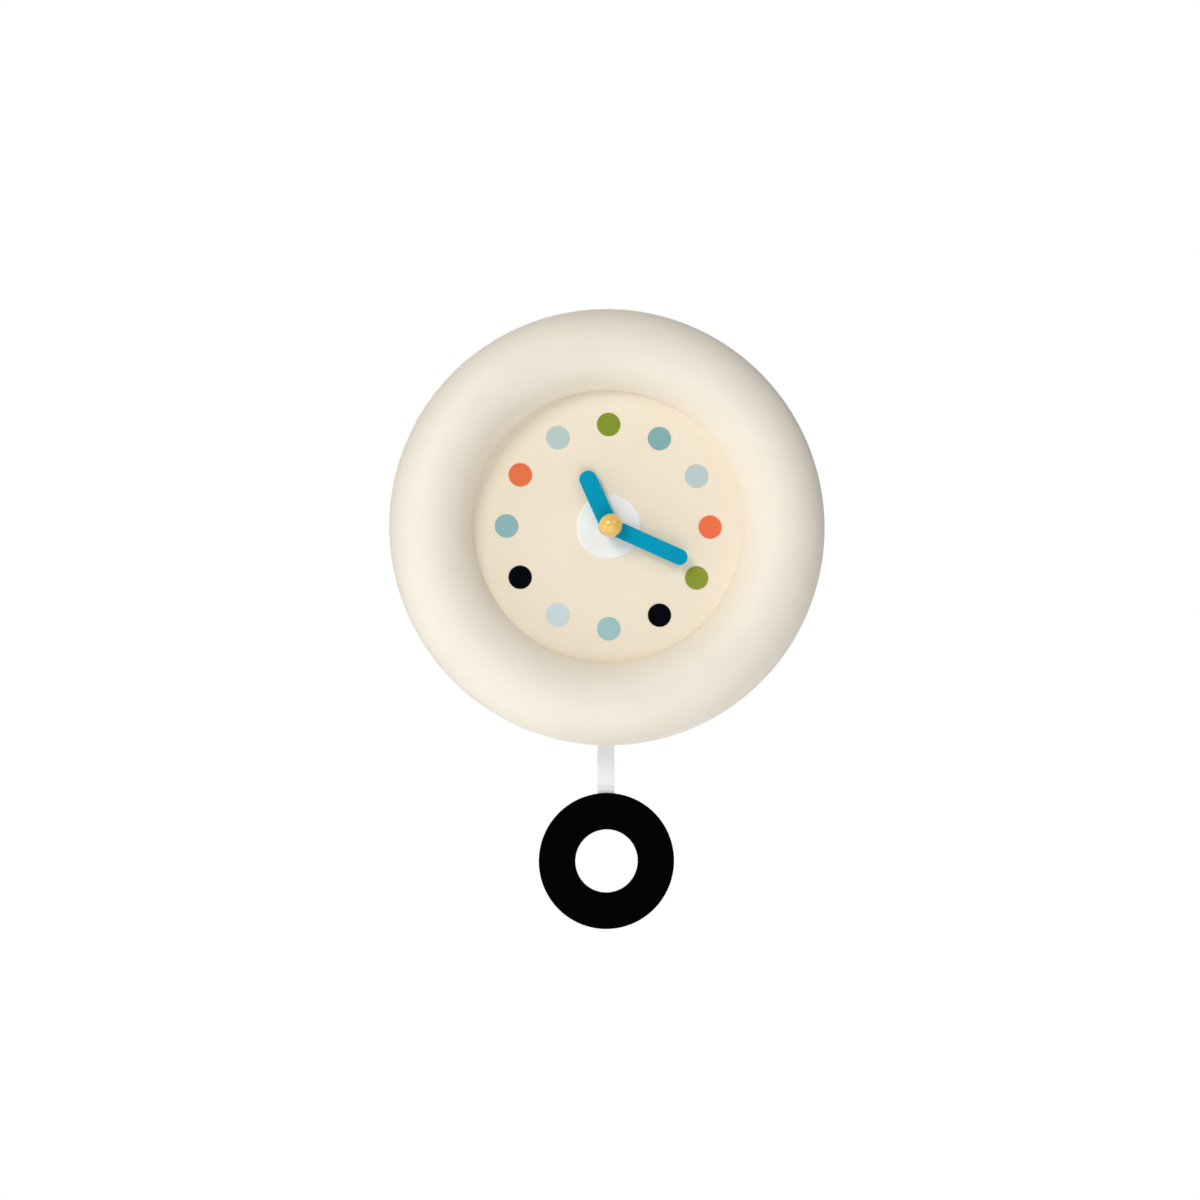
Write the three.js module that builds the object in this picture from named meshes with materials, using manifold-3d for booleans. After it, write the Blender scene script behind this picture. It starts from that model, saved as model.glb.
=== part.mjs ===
// Pendulum wall clock: a hollow rounded ring case with a dial, two hands, a quartz movement and
// a ring-shaped bob on a flat rod.
//
// Millimetres. +Z is up, the dial faces -Y and the wall is the plane y = 0. The origin is the
// point where the wall screw carries the clock, at the top of the keyhole slot.

import * as THREE from 'three';
import { mergeVertices } from 'three/addons/utils/BufferGeometryUtils.js';
import Module from 'manifold-3d';

const wasm = await Module();
wasm.setup();

// ---------------------------------------------------------------- driving dimensions

// Case
const CASE_DIAMETER = 250;
const TUBE_RADIUS = 23.55; // section radius of the rounded ring
const SHELL_WALL = 2.6;
const REAR_ARC = 60; // degrees that the outer limb curves in behind its widest line
const RIM_FLAT = 1.1; // straight length of the rear rim
const COVER_THICKNESS = 2.4;
const COVER_SCREW_INSET = 9.3; // screw circle inside the cover's edge
const BOSS_RADIUS = 4;
const DIAL_BOSS_RADIUS = 3.4;
const HANG_DROP = 80; // hanging point above the case centre
const WALL_SCREW_WIDTH = 4.6;
const KEYHOLE_ENTRY_RADIUS = 5.2;
const KEYHOLE_DROP = 9;

// Clearances
const FIT_GAP = 0.3;
const SEAT_GAP = 0.1;
const RUN_GAP = 1.2; // free space around pieces that turn
const LAYER_GAP = 0.4; // between neighbouring layers of wheels
const JOIN_LAP = 0.2; // how far two shapes of one piece run into each other
const PAST_FACE = 1; // how far a cutting shape runs past the face that it opens

// Dial
const DIAL_THICKNESS = 2;
const DIAL_LAP = 10; // dial hidden behind the ring's inner edge
const DIAL_SCREW_INSET = 4;
const CENTRE_DISC_RADIUS = 18.3;
const CENTRE_DISC_THICKNESS = 0.6;
const MARKER_COUNT = 12;
const MARKER_CIRCLE_RADIUS = 58.4;
const MARKER_RADIUS = 6.67;
const MARKER_THICKNESS = 0.4;

// Hands: width, reach from the arbor, clockwise angle from 12 seen from the front
const HOUR_HAND = { width: 10.2, reach: 34.2, angle: 335.55 };
const MINUTE_HAND = { width: 9.1, reach: 48.2, angle: 113.8 };
const HAND_THICKNESS = 1.2;
const HAND_SPACING = 1.8; // free space between the two hands
const CAP_RADIUS = 6.6;
const CAP_STUB_LENGTH = 3;
const CAP_SEAT_DEPTH = 3.9; // ball centre to its flat back

// Movement
const BATTERY_DIAMETER = 14.5;
const BATTERY_LENGTH = 49.8;
const BATTERY_INSET = 0.2; // battery behind the flush line of the movement's back
const CONTACT_SPACE = 1.7; // room for a contact at each battery end
const FRONT_PLATE_THICKNESS = 1.5;
const MOVEMENT_DEPTH = FRONT_PLATE_THICKNESS + FIT_GAP + BATTERY_DIAMETER + BATTERY_INSET;
const MOVEMENT_WALL = 1.4;
const BAY_WALL = 1.2; // between two bays of the movement
const MOVEMENT_CORNER = 3;
const KNOB_RADIUS = 5;
const KNOB_HEIGHT = 2.3;
const KNOB_FLUTES = 16;
const KNOB_FLUTE_DEPTH = 0.5;
const KNOB_TO_WALL = 2;
const KNOB_ANGLE = 30; // direction of the knob from the minute wheel

// Gears
const MOTION_MODULE = 0.5;
const MOTION_TEETH = { cannon: 10, minute: 30, minutePinion: 8, hour: 32, setting: 10 };
const TRAIN_DISTANCE = 10.2; // every train stage around the centre arbor has this spacing
const TRAIN_TEETH = {
  rotor: 8,
  intermediate: 48,
  intermediatePinion: 10,
  seconds: 50,
  secondsPinion: 8,
  third: 60,
  thirdPinion: 8,
  centre: 64,
};
const WHEEL_THICKNESS = 0.8;
const BRIDGE_THICKNESS = 0.8;
const MOTION_WHEEL_THICKNESS = 1.2;
const ARBOR_RADIUS = 0.5;
const THIRD_ANGLE = 160; // directions of the wheels from the centre arbor
const FAST_ANGLE = 60;
const BEARING_DEPTH = 0.6; // arbor end inside its bearing
const SOCKET_DEPTH = 0.9;

// Concentric tubes in the middle of the dial
const MINUTE_ARBOR_RADIUS = 1.5;
const MINUTE_ARBOR_BORE = 0.8;
const HOUR_PIPE_RADIUS = 2.5;
const BUSH_RADIUS = 4;
const NUT_ACROSS_FLATS = 10;
const NUT_HEIGHT = 2;
const NUT_SIDES = 6;
const WASHER_MARGIN = 0.7; // washer past the nut's flats
const TUBE_STEP = 0.2; // each tube's end past the piece on it
const WASHER_THICKNESS = 0.5;

// Pendulum
const PIVOT_DROP = 5; // pendulum pivot below the top of its bay
const LEVER_WIDTH = 5;
const LEVER_THICKNESS = 1.6;
const HOOK_PIN_RADIUS = 1.3;
const MAGNET_RADIUS = 4.5;
const MAGNET_THICKNESS = 2.6;
const MAGNET_DROP = 13; // magnet centre below the pivot
const PENDULUM_COIL_RADIUS = 7.5;
const PENDULUM_COIL_BORE = 3;
const PENDULUM_BAY_HEIGHT = PIVOT_DROP + MAGNET_DROP + PENDULUM_COIL_RADIUS + 1;
const SWING = 8; // degrees to each side
const ROD_WIDTH = 9.6;
const ROD_THICKNESS = 1.6;
const ROD_END_MARGIN = 3.4; // rod below the clip's stud
const ROD_TOP_GAP = 1.6; // rod below the movement
const ROD_VISIBLE_END = 148.8; // below the case centre
const CLIP_THICKNESS = 1.4;
const CLIP_MARGIN = 2.45; // from the clip's lower end to the bob's hole
const CLIP_STUD_RISE = 5;
const BOB_DROP = 191.2; // bob centre below the case centre
const BOB_RADIUS = 38.9;
const BOB_HOLE_RADIUS = 18;
const BOB_THICKNESS = 3;

// Smoothness: straight sides that stand for a full turn
const CASE_SIDES = 60;
const ROUND_SIDES = 20;
const SMALL_SIDES = 12;
const ARC_STEPS = 8;
const CORNER_STEPS = 3;
const RING_STEPS = 18; // along the ring's outer section
const HOLLOW_STEPS = 12; // along its inner section

// ---------------------------------------------------------------- sizes worked out from them

const RAD = Math.PI / 180;

// Case section: the ring's centre circle and its widest plane
const caseRadius = CASE_DIAMETER / 2;
const ringRadius = caseRadius - TUBE_RADIUS;
const innerTubeRadius = TUBE_RADIUS - SHELL_WALL;
const equatorY = -(TUBE_RADIUS * Math.sin(REAR_ARC * RAD) + RIM_FLAT);
const rimRadius = ringRadius + TUBE_RADIUS * Math.cos(REAR_ARC * RAD);
const coverSeatRadius = rimRadius - SHELL_WALL;
const coverRadius = coverSeatRadius - FIT_GAP;
const coverScrewCircle = coverRadius - COVER_SCREW_INSET;

// Depths, from the wall forward
const movementRear = -(KNOB_TO_WALL + KNOB_HEIGHT + FIT_GAP);
const movementFront = movementRear - MOVEMENT_DEPTH;
const housingFront = movementFront + FRONT_PLATE_THICKNESS;
const housingFloor = movementRear - MOVEMENT_WALL;
const dialBack = movementFront - FIT_GAP;
const dialFront = dialBack - DIAL_THICKNESS;
const lipY = dialFront - SEAT_GAP;
const lipRise = equatorY - lipY;
const openingRadius = ringRadius - Math.sqrt(TUBE_RADIUS ** 2 - lipRise ** 2);
const dialRadius = openingRadius + DIAL_LAP;
const dialScrewCircle = dialRadius - DIAL_SCREW_INSET;

const markerFront = dialFront - MARKER_THICKNESS;
const centreDiscFront = dialFront - CENTRE_DISC_THICKNESS;
const washerFront = centreDiscFront - SEAT_GAP - WASHER_THICKNESS;
const nutFront = washerFront - SEAT_GAP - NUT_HEIGHT;
const hourHandBack = nutFront - RUN_GAP / 2;
const hourHandFront = hourHandBack - HAND_THICKNESS;
const minuteHandBack = hourHandFront - HAND_SPACING;
const minuteHandFront = minuteHandBack - HAND_THICKNESS;
const capBack = minuteHandFront - FIT_GAP;

// Motion work, directly behind the front plate
const hourWheelFront = housingFront + LAYER_GAP;
const hourWheelBack = hourWheelFront + MOTION_WHEEL_THICKNESS;
const motionWheelFront = hourWheelBack + RUN_GAP / 2;
const motionWheelBack = motionWheelFront + MOTION_WHEEL_THICKNESS;
const bridgeFront = motionWheelBack + LAYER_GAP;
const bridgeBack = bridgeFront + BRIDGE_THICKNESS;

// Going train, layer by layer behind the bridge
// four wheel layers share the space, with one more left for the gaps in front and behind
const layerStep = (housingFloor - bridgeBack) / 4.9;
const centreLayer = bridgeBack + LAYER_GAP;
const thirdLayer = centreLayer + layerStep;
const secondsLayer = thirdLayer + layerStep;
const intermediateLayer = secondsLayer + layerStep;

const motionDistance = (MOTION_MODULE * (MOTION_TEETH.cannon + MOTION_TEETH.minute)) / 2;
const slowModule = (2 * TRAIN_DISTANCE) / (TRAIN_TEETH.thirdPinion + TRAIN_TEETH.centre);
const thirdModule = (2 * TRAIN_DISTANCE) / (TRAIN_TEETH.secondsPinion + TRAIN_TEETH.third);
const fastModule = (2 * TRAIN_DISTANCE) / (TRAIN_TEETH.intermediatePinion + TRAIN_TEETH.seconds);
const rotorDistance = (fastModule * (TRAIN_TEETH.rotor + TRAIN_TEETH.intermediate)) / 2;

// Places in the plane of the dial, measured from the case centre: x to the right, z up
const CENTRE = { x: 0, z: 0 };
const MINUTE_WHEEL_PLACE = { x: motionDistance, z: 0 };
const KNOB_PLACE = around(MINUTE_WHEEL_PLACE, motionDistance, KNOB_ANGLE);
const THIRD_PLACE = around(CENTRE, TRAIN_DISTANCE, THIRD_ANGLE);
const INTERMEDIATE_PLACE = around(CENTRE, TRAIN_DISTANCE, FAST_ANGLE);
const ROTOR_PLACE = around(INTERMEDIATE_PLACE, rotorDistance, FAST_ANGLE);

// Movement outline and its three bays: train, battery, pendulum
const ROTOR_MAGNET_RADIUS = 2.8;
const STATOR_REACH = 5.3; // rotor centre to the edge of the stator around it
const TIME_COIL_RADIUS = 2.8;
const coilZ = ROTOR_PLACE.z + STATOR_REACH - 1;
const trainBayTop = coilZ + TIME_COIL_RADIUS + RUN_GAP * 2;
const centreWheelRadius = slowModule * (TRAIN_TEETH.centre / 2 + 1);
const trainBayBottom = -(centreWheelRadius + RUN_GAP);
const batteryBayTop = trainBayBottom - BAY_WALL;
const batteryZ = batteryBayTop - FIT_GAP - BATTERY_DIAMETER / 2;
const batteryBayBottom = batteryZ - BATTERY_DIAMETER / 2 - FIT_GAP;
const pendulumBayTop = batteryBayBottom - BAY_WALL;
const pendulumBayBottom = pendulumBayTop - PENDULUM_BAY_HEIGHT;
const bayHalfWidth = BATTERY_LENGTH / 2 + CONTACT_SPACE;
const movementHalfWidth = bayHalfWidth + MOVEMENT_WALL;
const movementTop = trainBayTop + MOVEMENT_WALL;
const movementBottom = pendulumBayBottom - MOVEMENT_WALL;

// Pendulum
const pivotZ = pendulumBayTop - PIVOT_DROP;
const magnetZ = pivotZ - MAGNET_DROP;
const rodTop = movementBottom - ROD_TOP_GAP;
const hookZ = rodTop - ROD_WIDTH / 2 + RUN_GAP;
const rodBack = housingFloor - FIT_GAP;
const rodFront = rodBack - ROD_THICKNESS;
const leverBack = rodFront - FIT_GAP;
const leverFront = leverBack - LEVER_THICKNESS;
const clipBack = rodFront - FIT_GAP;
const clipFront = clipBack - CLIP_THICKNESS;
const bobBack = clipFront - FIT_GAP;
const bobFront = bobBack - BOB_THICKNESS;
// the clip ends a little above the bob's hole
const clipBottom = -(BOB_DROP - BOB_HOLE_RADIUS - CLIP_MARGIN);
const studZ = clipBottom + CLIP_STUD_RISE;
// half-width that the swinging rod needs at the case's edge
const swingRoom = (caseRadius + pivotZ) * Math.sin(SWING * RAD) + ROD_WIDTH / 2 + 2;

// ---------------------------------------------------------------- materials

function finish(color, roughness, metalness = 0) {
  return new THREE.MeshStandardMaterial({ color, roughness, metalness });
}

const CREAM_PLASTIC = { color: 0xefe9dc, roughness: 0.55 };
const DIAL_PAINT = { color: 0xeee4d0, roughness: 0.7 };
const WHITE_PLASTIC = { color: 0xe8e6de, roughness: 0.5 };
const HAND_BLUE = { color: 0x0d97b7, roughness: 0.6 };
const CAP_YELLOW = { color: 0xf3cb6b, roughness: 0.2 };
const BLACK_PLASTIC = { color: 0x060606, roughness: 0.55 };
const GREY_PLASTIC = { color: 0x9a9c9c, roughness: 0.6 };
const BRASS = { color: 0xc7a352, roughness: 0.35, metalness: 1 };
const STEEL = { color: 0xb4b6b8, roughness: 0.35, metalness: 1 };
const COPPER = { color: 0xb4683a, roughness: 0.45, metalness: 0.8 };
const BOARD_GREEN = { color: 0x2e6b45, roughness: 0.5 };

// Clockwise from 1 o'clock
const MARKER_COLOURS = [
  0x81abad, 0xb6c8c8, 0xe97149, 0x889536, 0x02060c, 0x9bc0c3,
  0xc7d6d9, 0x05090c, 0x8cb5b9, 0xe47349, 0xb4c7c4, 0x7f9231,
];

// ---------------------------------------------------------------- shape helpers

function around(place, distance, degrees) {
  return {
    x: place.x + distance * Math.cos(degrees * RAD),
    z: place.z + distance * Math.sin(degrees * RAD),
  };
}

// Closed surface with shared vertices, ready to be joined or cut
function toSolid(geometry) {
  const bare = geometry.clone();
  bare.deleteAttribute('normal');
  bare.deleteAttribute('uv');
  const merged = mergeVertices(bare, 1e-4);
  const corners = [];
  const index = merged.index.array;
  for (let i = 0; i < index.length; i += 3) {
    const [a, b, c] = [index[i], index[i + 1], index[i + 2]];
    if (a !== b && b !== c && c !== a) {
      corners.push(a, b, c);
    }
  }
  const vertProperties = new Float32Array(merged.attributes.position.array);
  const triVerts = new Uint32Array(corners);
  return new wasm.Manifold(new wasm.Mesh({ numProp: 3, vertProperties, triVerts }));
}

function toGeometry(solid) {
  const { vertProperties, triVerts } = solid.getMesh();
  const geometry = new THREE.BufferGeometry();
  geometry.setAttribute('position', new THREE.BufferAttribute(vertProperties, 3));
  geometry.setIndex(new THREE.BufferAttribute(triVerts, 1));
  geometry.computeVertexNormals();
  return geometry;
}

function piece(name, solid, look) {
  const mesh = new THREE.Mesh(toGeometry(solid), finish(look.color, look.roughness, look.metalness));
  mesh.name = name;
  return mesh;
}

function joined(solids) {
  return solids.reduce((whole, next) => whole.add(next));
}

function cut(solid, tools) {
  return tools.reduce((left, tool) => left.subtract(tool), solid);
}

// Turned shape around the Y axis. The profile is a list of [radius, y] that runs forward to
// back on its outer side and closes on itself.
function turned(profile, sides) {
  const points = [...profile, profile[0]].map(([radius, y]) => new THREE.Vector2(radius, y));
  return outward(new THREE.LatheGeometry(points, sides));
}

// A turned profile may run either way round, so the surface is flipped if it faces inward
function outward(geometry) {
  const position = geometry.attributes.position;
  const index = geometry.index.array;
  const [a, b, c] = [new THREE.Vector3(), new THREE.Vector3(), new THREE.Vector3()];
  let volume = 0;
  for (let i = 0; i < index.length; i += 3) {
    a.fromBufferAttribute(position, index[i]);
    b.fromBufferAttribute(position, index[i + 1]);
    c.fromBufferAttribute(position, index[i + 2]);
    volume += a.dot(b.cross(c));
  }
  if (volume < 0) {
    for (let i = 0; i < index.length; i += 3) {
      [index[i], index[i + 1]] = [index[i + 1], index[i]];
    }
  }
  return toSolid(geometry);
}

// Points of an arc in a section plane, from one angle to another in degrees
function arc(centreA, centreB, radius, from, to, steps) {
  const points = [];
  for (let i = 0; i <= steps; i += 1) {
    const angle = (from + ((to - from) * i) / steps) * RAD;
    points.push([centreA + radius * Math.cos(angle), centreB + radius * Math.sin(angle)]);
  }
  return points;
}

// Flat piece in the plane of the dial between two depths. Outline and holes are lists of [x, z].
function plate(outline, front, back, holes = []) {
  const shape = new THREE.Shape(outline.map(([x, z]) => new THREE.Vector2(x, z)));
  for (const hole of holes) {
    shape.holes.push(new THREE.Path(hole.map(([x, z]) => new THREE.Vector2(x, z))));
  }
  const geometry = new THREE.ExtrudeGeometry(shape, { depth: back - front, bevelEnabled: false });
  geometry.rotateX(Math.PI / 2);
  geometry.translate(0, back, 0);
  return toSolid(geometry);
}

function circle(place, radius, sides, turn = 0) {
  const points = [];
  for (let i = 0; i < sides; i += 1) {
    const angle = turn + (2 * Math.PI * i) / sides;
    points.push([place.x + radius * Math.cos(angle), place.z + radius * Math.sin(angle)]);
  }
  return points;
}

function disc(place, radius, front, back, sides) {
  return plate(circle(place, radius, sides), front, back);
}

function rectangle(left, right, bottom, top) {
  return [[left, bottom], [right, bottom], [right, top], [left, top]];
}

function roundedRectangle(left, right, bottom, top, corner, steps) {
  return [
    ...arc(right - corner, bottom + corner, corner, -90, 0, steps),
    ...arc(right - corner, top - corner, corner, 0, 90, steps),
    ...arc(left + corner, top - corner, corner, 90, 180, steps),
    ...arc(left + corner, bottom + corner, corner, 180, 270, steps),
  ];
}

// Upright bar with round ends between two heights of its end centres
function roundEnded(width, lowCentre, highCentre, steps) {
  return [
    ...arc(0, highCentre, width / 2, 0, 180, steps),
    ...arc(0, lowCentre, width / 2, 180, 360, steps),
  ];
}

function block(left, right, front, back, bottom, top) {
  const geometry = new THREE.BoxGeometry(right - left, back - front, top - bottom);
  geometry.translate((left + right) / 2, (front + back) / 2, (bottom + top) / 2);
  return toSolid(geometry);
}

// Rod along X
function barAlongX(left, right, y, z, radius, sides) {
  const geometry = new THREE.CylinderGeometry(radius, radius, right - left, sides);
  geometry.rotateZ(Math.PI / 2);
  geometry.translate((left + right) / 2, y, z);
  return toSolid(geometry);
}

// ---------------------------------------------------------------- gears

// Pointed teeth: each tooth is one crest between two valleys. Phase is the angle of one crest.
function toothed(place, teeth, module, phase, front, back, bore = 0) {
  const crest = module * (teeth / 2 + 1);
  const valley = module * (teeth / 2 - 1.25);
  const outline = [];
  for (let i = 0; i < 2 * teeth; i += 1) {
    const angle = phase + (Math.PI * i) / teeth;
    const radius = i % 2 === 0 ? crest : valley;
    outline.push([place.x + radius * Math.cos(angle), place.z + radius * Math.sin(angle)]);
  }
  const holes = bore > 0 ? [circle(place, bore, SMALL_SIDES).reverse()] : [];
  return plate(outline, front, back, holes);
}

// Phase that lets a gear mesh with its driver: a valley meets a crest on the line of centres
function meshPhase(driver, driven) {
  const line = Math.atan2(driven.place.z - driver.place.z, driven.place.x - driver.place.x);
  const offset = driver.teeth * (line - driver.phase) - Math.PI;
  return line + Math.PI + offset / driven.teeth;
}

function meshedWith(driver, place, teeth) {
  const driven = { place, teeth };
  driven.phase = meshPhase(driver, driven);
  return driven;
}

// ---------------------------------------------------------------- case

// The ring's outer envelope as a full solid, used to trim what stands inside it
function ringEnvelope() {
  const start = (Math.atan2(lipY - equatorY, openingRadius - ringRadius) / RAD + 360) % 360;
  return turned(
    [
      ...arc(ringRadius, equatorY, TUBE_RADIUS, start, 360 + REAR_ARC, RING_STEPS),
      [rimRadius, 0],
      [openingRadius, 0],
    ],
    CASE_SIDES,
  );
}

// The hollow behind the wall, open to the rear and to the dial
function ringHollow() {
  const lipInner = ringRadius - Math.sqrt(innerTubeRadius ** 2 - lipRise ** 2);
  const start = (Math.atan2(lipY - equatorY, lipInner - ringRadius) / RAD + 360) % 360;
  const end = 360 + Math.acos((coverSeatRadius - ringRadius) / innerTubeRadius) / RAD;
  return turned(
    [
      ...arc(ringRadius, equatorY, innerTubeRadius, start, end, HOLLOW_STEPS),
      [coverSeatRadius, PAST_FACE],
      [openingRadius - DIAL_LAP, PAST_FACE],
      [openingRadius - DIAL_LAP, lipY],
    ],
    CASE_SIDES,
  );
}

const FASTENER_ANGLES = [45, 135, 225, 315];
const DIAL_SCREW = { radius: 1.3, head: 2.8, headHeight: 1.5, length: 9 };
const COVER_SCREW = { radius: 1.4, head: 3.2, headHeight: 1.4, length: 14 };

function frontShell() {
  const envelope = ringEnvelope();
  const posts = [];
  const pilots = [];
  for (const angle of FASTENER_ANGLES) {
    const coverPost = around(CENTRE, coverScrewCircle, angle);
    const dialPost = around(CENTRE, dialScrewCircle, angle);
    const postFront = equatorY - TUBE_RADIUS;
    const coverPostBack = -COVER_THICKNESS - FIT_GAP;
    const dialPostBack = dialFront - SEAT_GAP;
    posts.push(disc(coverPost, BOSS_RADIUS, postFront, coverPostBack, SMALL_SIDES));
    posts.push(disc(dialPost, DIAL_BOSS_RADIUS, postFront, dialPostBack, SMALL_SIDES));
    const coverPilot = COVER_SCREW.radius + FIT_GAP;
    const coverPilotFront = -COVER_SCREW.headHeight - COVER_SCREW.length - PAST_FACE;
    pilots.push(disc(coverPost, coverPilot, coverPilotFront, PAST_FACE, SMALL_SIDES));
    const dialPilot = DIAL_SCREW.radius + FIT_GAP;
    const dialPilotFront = dialBack - DIAL_SCREW.length - PAST_FACE;
    pilots.push(disc(dialPost, dialPilot, dialPilotFront, PAST_FACE, SMALL_SIDES));
  }
  const shell = envelope.subtract(ringHollow());
  const trimmedPosts = posts.map((post) => envelope.intersect(post));
  // the rod swings through a notch in the rear rim
  const notch = block(
    -swingRoom,
    swingRoom,
    rodFront - RUN_GAP - FIT_GAP,
    PAST_FACE,
    -(caseRadius + PAST_FACE),
    -(coverSeatRadius - BOSS_RADIUS),
  );
  return cut(joined([shell, ...trimmedPosts]), [...pilots, notch]);
}

function rearCover() {
  const windowGap = RUN_GAP + FIT_GAP;
  const windowHalf = movementHalfWidth + windowGap;
  const window = block(
    -windowHalf,
    windowHalf,
    -COVER_THICKNESS - PAST_FACE,
    PAST_FACE,
    movementBottom - windowGap,
    movementTop + windowGap,
  );
  const slot = block(
    -swingRoom,
    swingRoom,
    -COVER_THICKNESS - PAST_FACE,
    PAST_FACE,
    -(coverRadius + PAST_FACE),
    movementBottom,
  );
  // the keyhole carries the wall screw at the top of its narrow slot
  const slotHalf = WALL_SCREW_WIDTH / 2;
  const slotTopCentre = { x: 0, z: HANG_DROP - slotHalf };
  const entry = { x: 0, z: HANG_DROP - KEYHOLE_DROP };
  const keyhole = joined([
    disc(entry, KEYHOLE_ENTRY_RADIUS, -COVER_THICKNESS - PAST_FACE, PAST_FACE, ROUND_SIDES),
    disc(slotTopCentre, slotHalf, -COVER_THICKNESS - PAST_FACE, PAST_FACE, ROUND_SIDES),
    block(-slotHalf, slotHalf, -COVER_THICKNESS - PAST_FACE, PAST_FACE, entry.z, slotTopCentre.z),
  ]);
  const screwHoles = [];
  for (const angle of FASTENER_ANGLES) {
    const place = around(CENTRE, coverScrewCircle, angle);
    const clearance = COVER_SCREW.radius + FIT_GAP;
    const headFront = -COVER_SCREW.headHeight - SEAT_GAP;
    screwHoles.push(disc(place, clearance, -COVER_THICKNESS - PAST_FACE, PAST_FACE, SMALL_SIDES));
    screwHoles.push(disc(place, COVER_SCREW.head + FIT_GAP, headFront, PAST_FACE, SMALL_SIDES));
  }
  const blank = disc(CENTRE, coverRadius, -COVER_THICKNESS, 0, CASE_SIDES);
  return cut(blank, [window, slot, keyhole, ...screwHoles]);
}

const RECESS_SHARE = 0.6; // of the head's radius and height
const RECESS_HALF_WIDTH = 0.35;

// Pan-head screw driven forward, its head at the back, with a cross recess
function screw(place, size, headBack) {
  const headFront = headBack - size.headHeight;
  const tip = headFront - size.length;
  const recessHalf = size.head * RECESS_SHARE;
  const recessFront = headBack - size.headHeight * RECESS_SHARE;
  const head = disc(place, size.head, headFront, headBack, SMALL_SIDES);
  const shank = disc(place, size.radius, tip, headFront + JOIN_LAP, SMALL_SIDES);
  const bars = [
    [recessHalf, RECESS_HALF_WIDTH],
    [RECESS_HALF_WIDTH, recessHalf],
  ];
  const recess = bars.map(([halfX, halfZ]) =>
    block(
      place.x - halfX,
      place.x + halfX,
      recessFront,
      headBack + PAST_FACE,
      place.z - halfZ,
      place.z + halfZ,
    ),
  );
  return cut(joined([head, shank]), recess);
}

// ---------------------------------------------------------------- dial and hands

function dialDisc() {
  const screwHoles = FASTENER_ANGLES.map((angle) => {
    const place = around(CENTRE, dialScrewCircle, angle);
    return circle(place, DIAL_SCREW.radius + FIT_GAP, SMALL_SIDES);
  });
  const centreHole = circle(CENTRE, BUSH_RADIUS + FIT_GAP, ROUND_SIDES);
  const outline = circle(CENTRE, dialRadius, CASE_SIDES);
  return plate(outline, dialFront, dialBack, [centreHole, ...screwHoles]);
}

function washerLike(radius, bore, front, back, sides) {
  return plate(circle(CENTRE, radius, sides), front, back, [circle(CENTRE, bore, ROUND_SIDES)]);
}

function fixingNut() {
  const corner = NUT_ACROSS_FLATS / 2 / Math.cos(Math.PI / NUT_SIDES);
  return washerLike(corner, BUSH_RADIUS + FIT_GAP, nutFront, washerFront - SEAT_GAP, NUT_SIDES);
}

// Hand pointing to 12, turned afterwards by its group
function hand(size, bore, front, back) {
  const outline = roundEnded(size.width, 0, size.reach - size.width / 2, ARC_STEPS);
  return plate(outline, front, back, [circle(CENTRE, bore, SMALL_SIDES)]);
}

function hubCap() {
  const centreY = capBack - CAP_SEAT_DEPTH;
  const start = Math.asin(CAP_SEAT_DEPTH / CAP_RADIUS) / RAD;
  const ball = arc(0, centreY, CAP_RADIUS, -90, start, ARC_STEPS + 2);
  ball[0][0] = 0;
  const stubRadius = MINUTE_ARBOR_BORE - FIT_GAP;
  const stubBack = capBack + CAP_STUB_LENGTH;
  return turned([...ball, [stubRadius, capBack], [stubRadius, stubBack], [0, stubBack]], ROUND_SIDES);
}

// ---------------------------------------------------------------- movement casing

const PIVOT_PIN_RADIUS = 1;
const PIVOT_HOLE = ARBOR_RADIUS + FIT_GAP;
const KNOB_SHAFT_RADIUS = 1.5;

function frontPlate() {
  const outline = roundedRectangle(
    -movementHalfWidth,
    movementHalfWidth,
    movementBottom,
    movementTop,
    MOVEMENT_CORNER,
    CORNER_STEPS,
  );
  const bushHole = [circle(CENTRE, BUSH_RADIUS + FIT_GAP, ROUND_SIDES)];
  const socketFront = housingFront - SOCKET_DEPTH;
  const pivots = [MINUTE_WHEEL_PLACE, KNOB_PLACE];
  const sockets = pivots.map((place) =>
    disc(place, PIVOT_HOLE, socketFront, housingFront + PAST_FACE, SMALL_SIDES),
  );
  const pinPlace = { x: 0, z: pivotZ };
  const pinHole = PIVOT_PIN_RADIUS + FIT_GAP;
  sockets.push(disc(pinPlace, pinHole, socketFront, housingFront + PAST_FACE, SMALL_SIDES));
  return cut(plate(outline, movementFront, housingFront - SEAT_GAP, bushHole), sockets);
}

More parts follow.
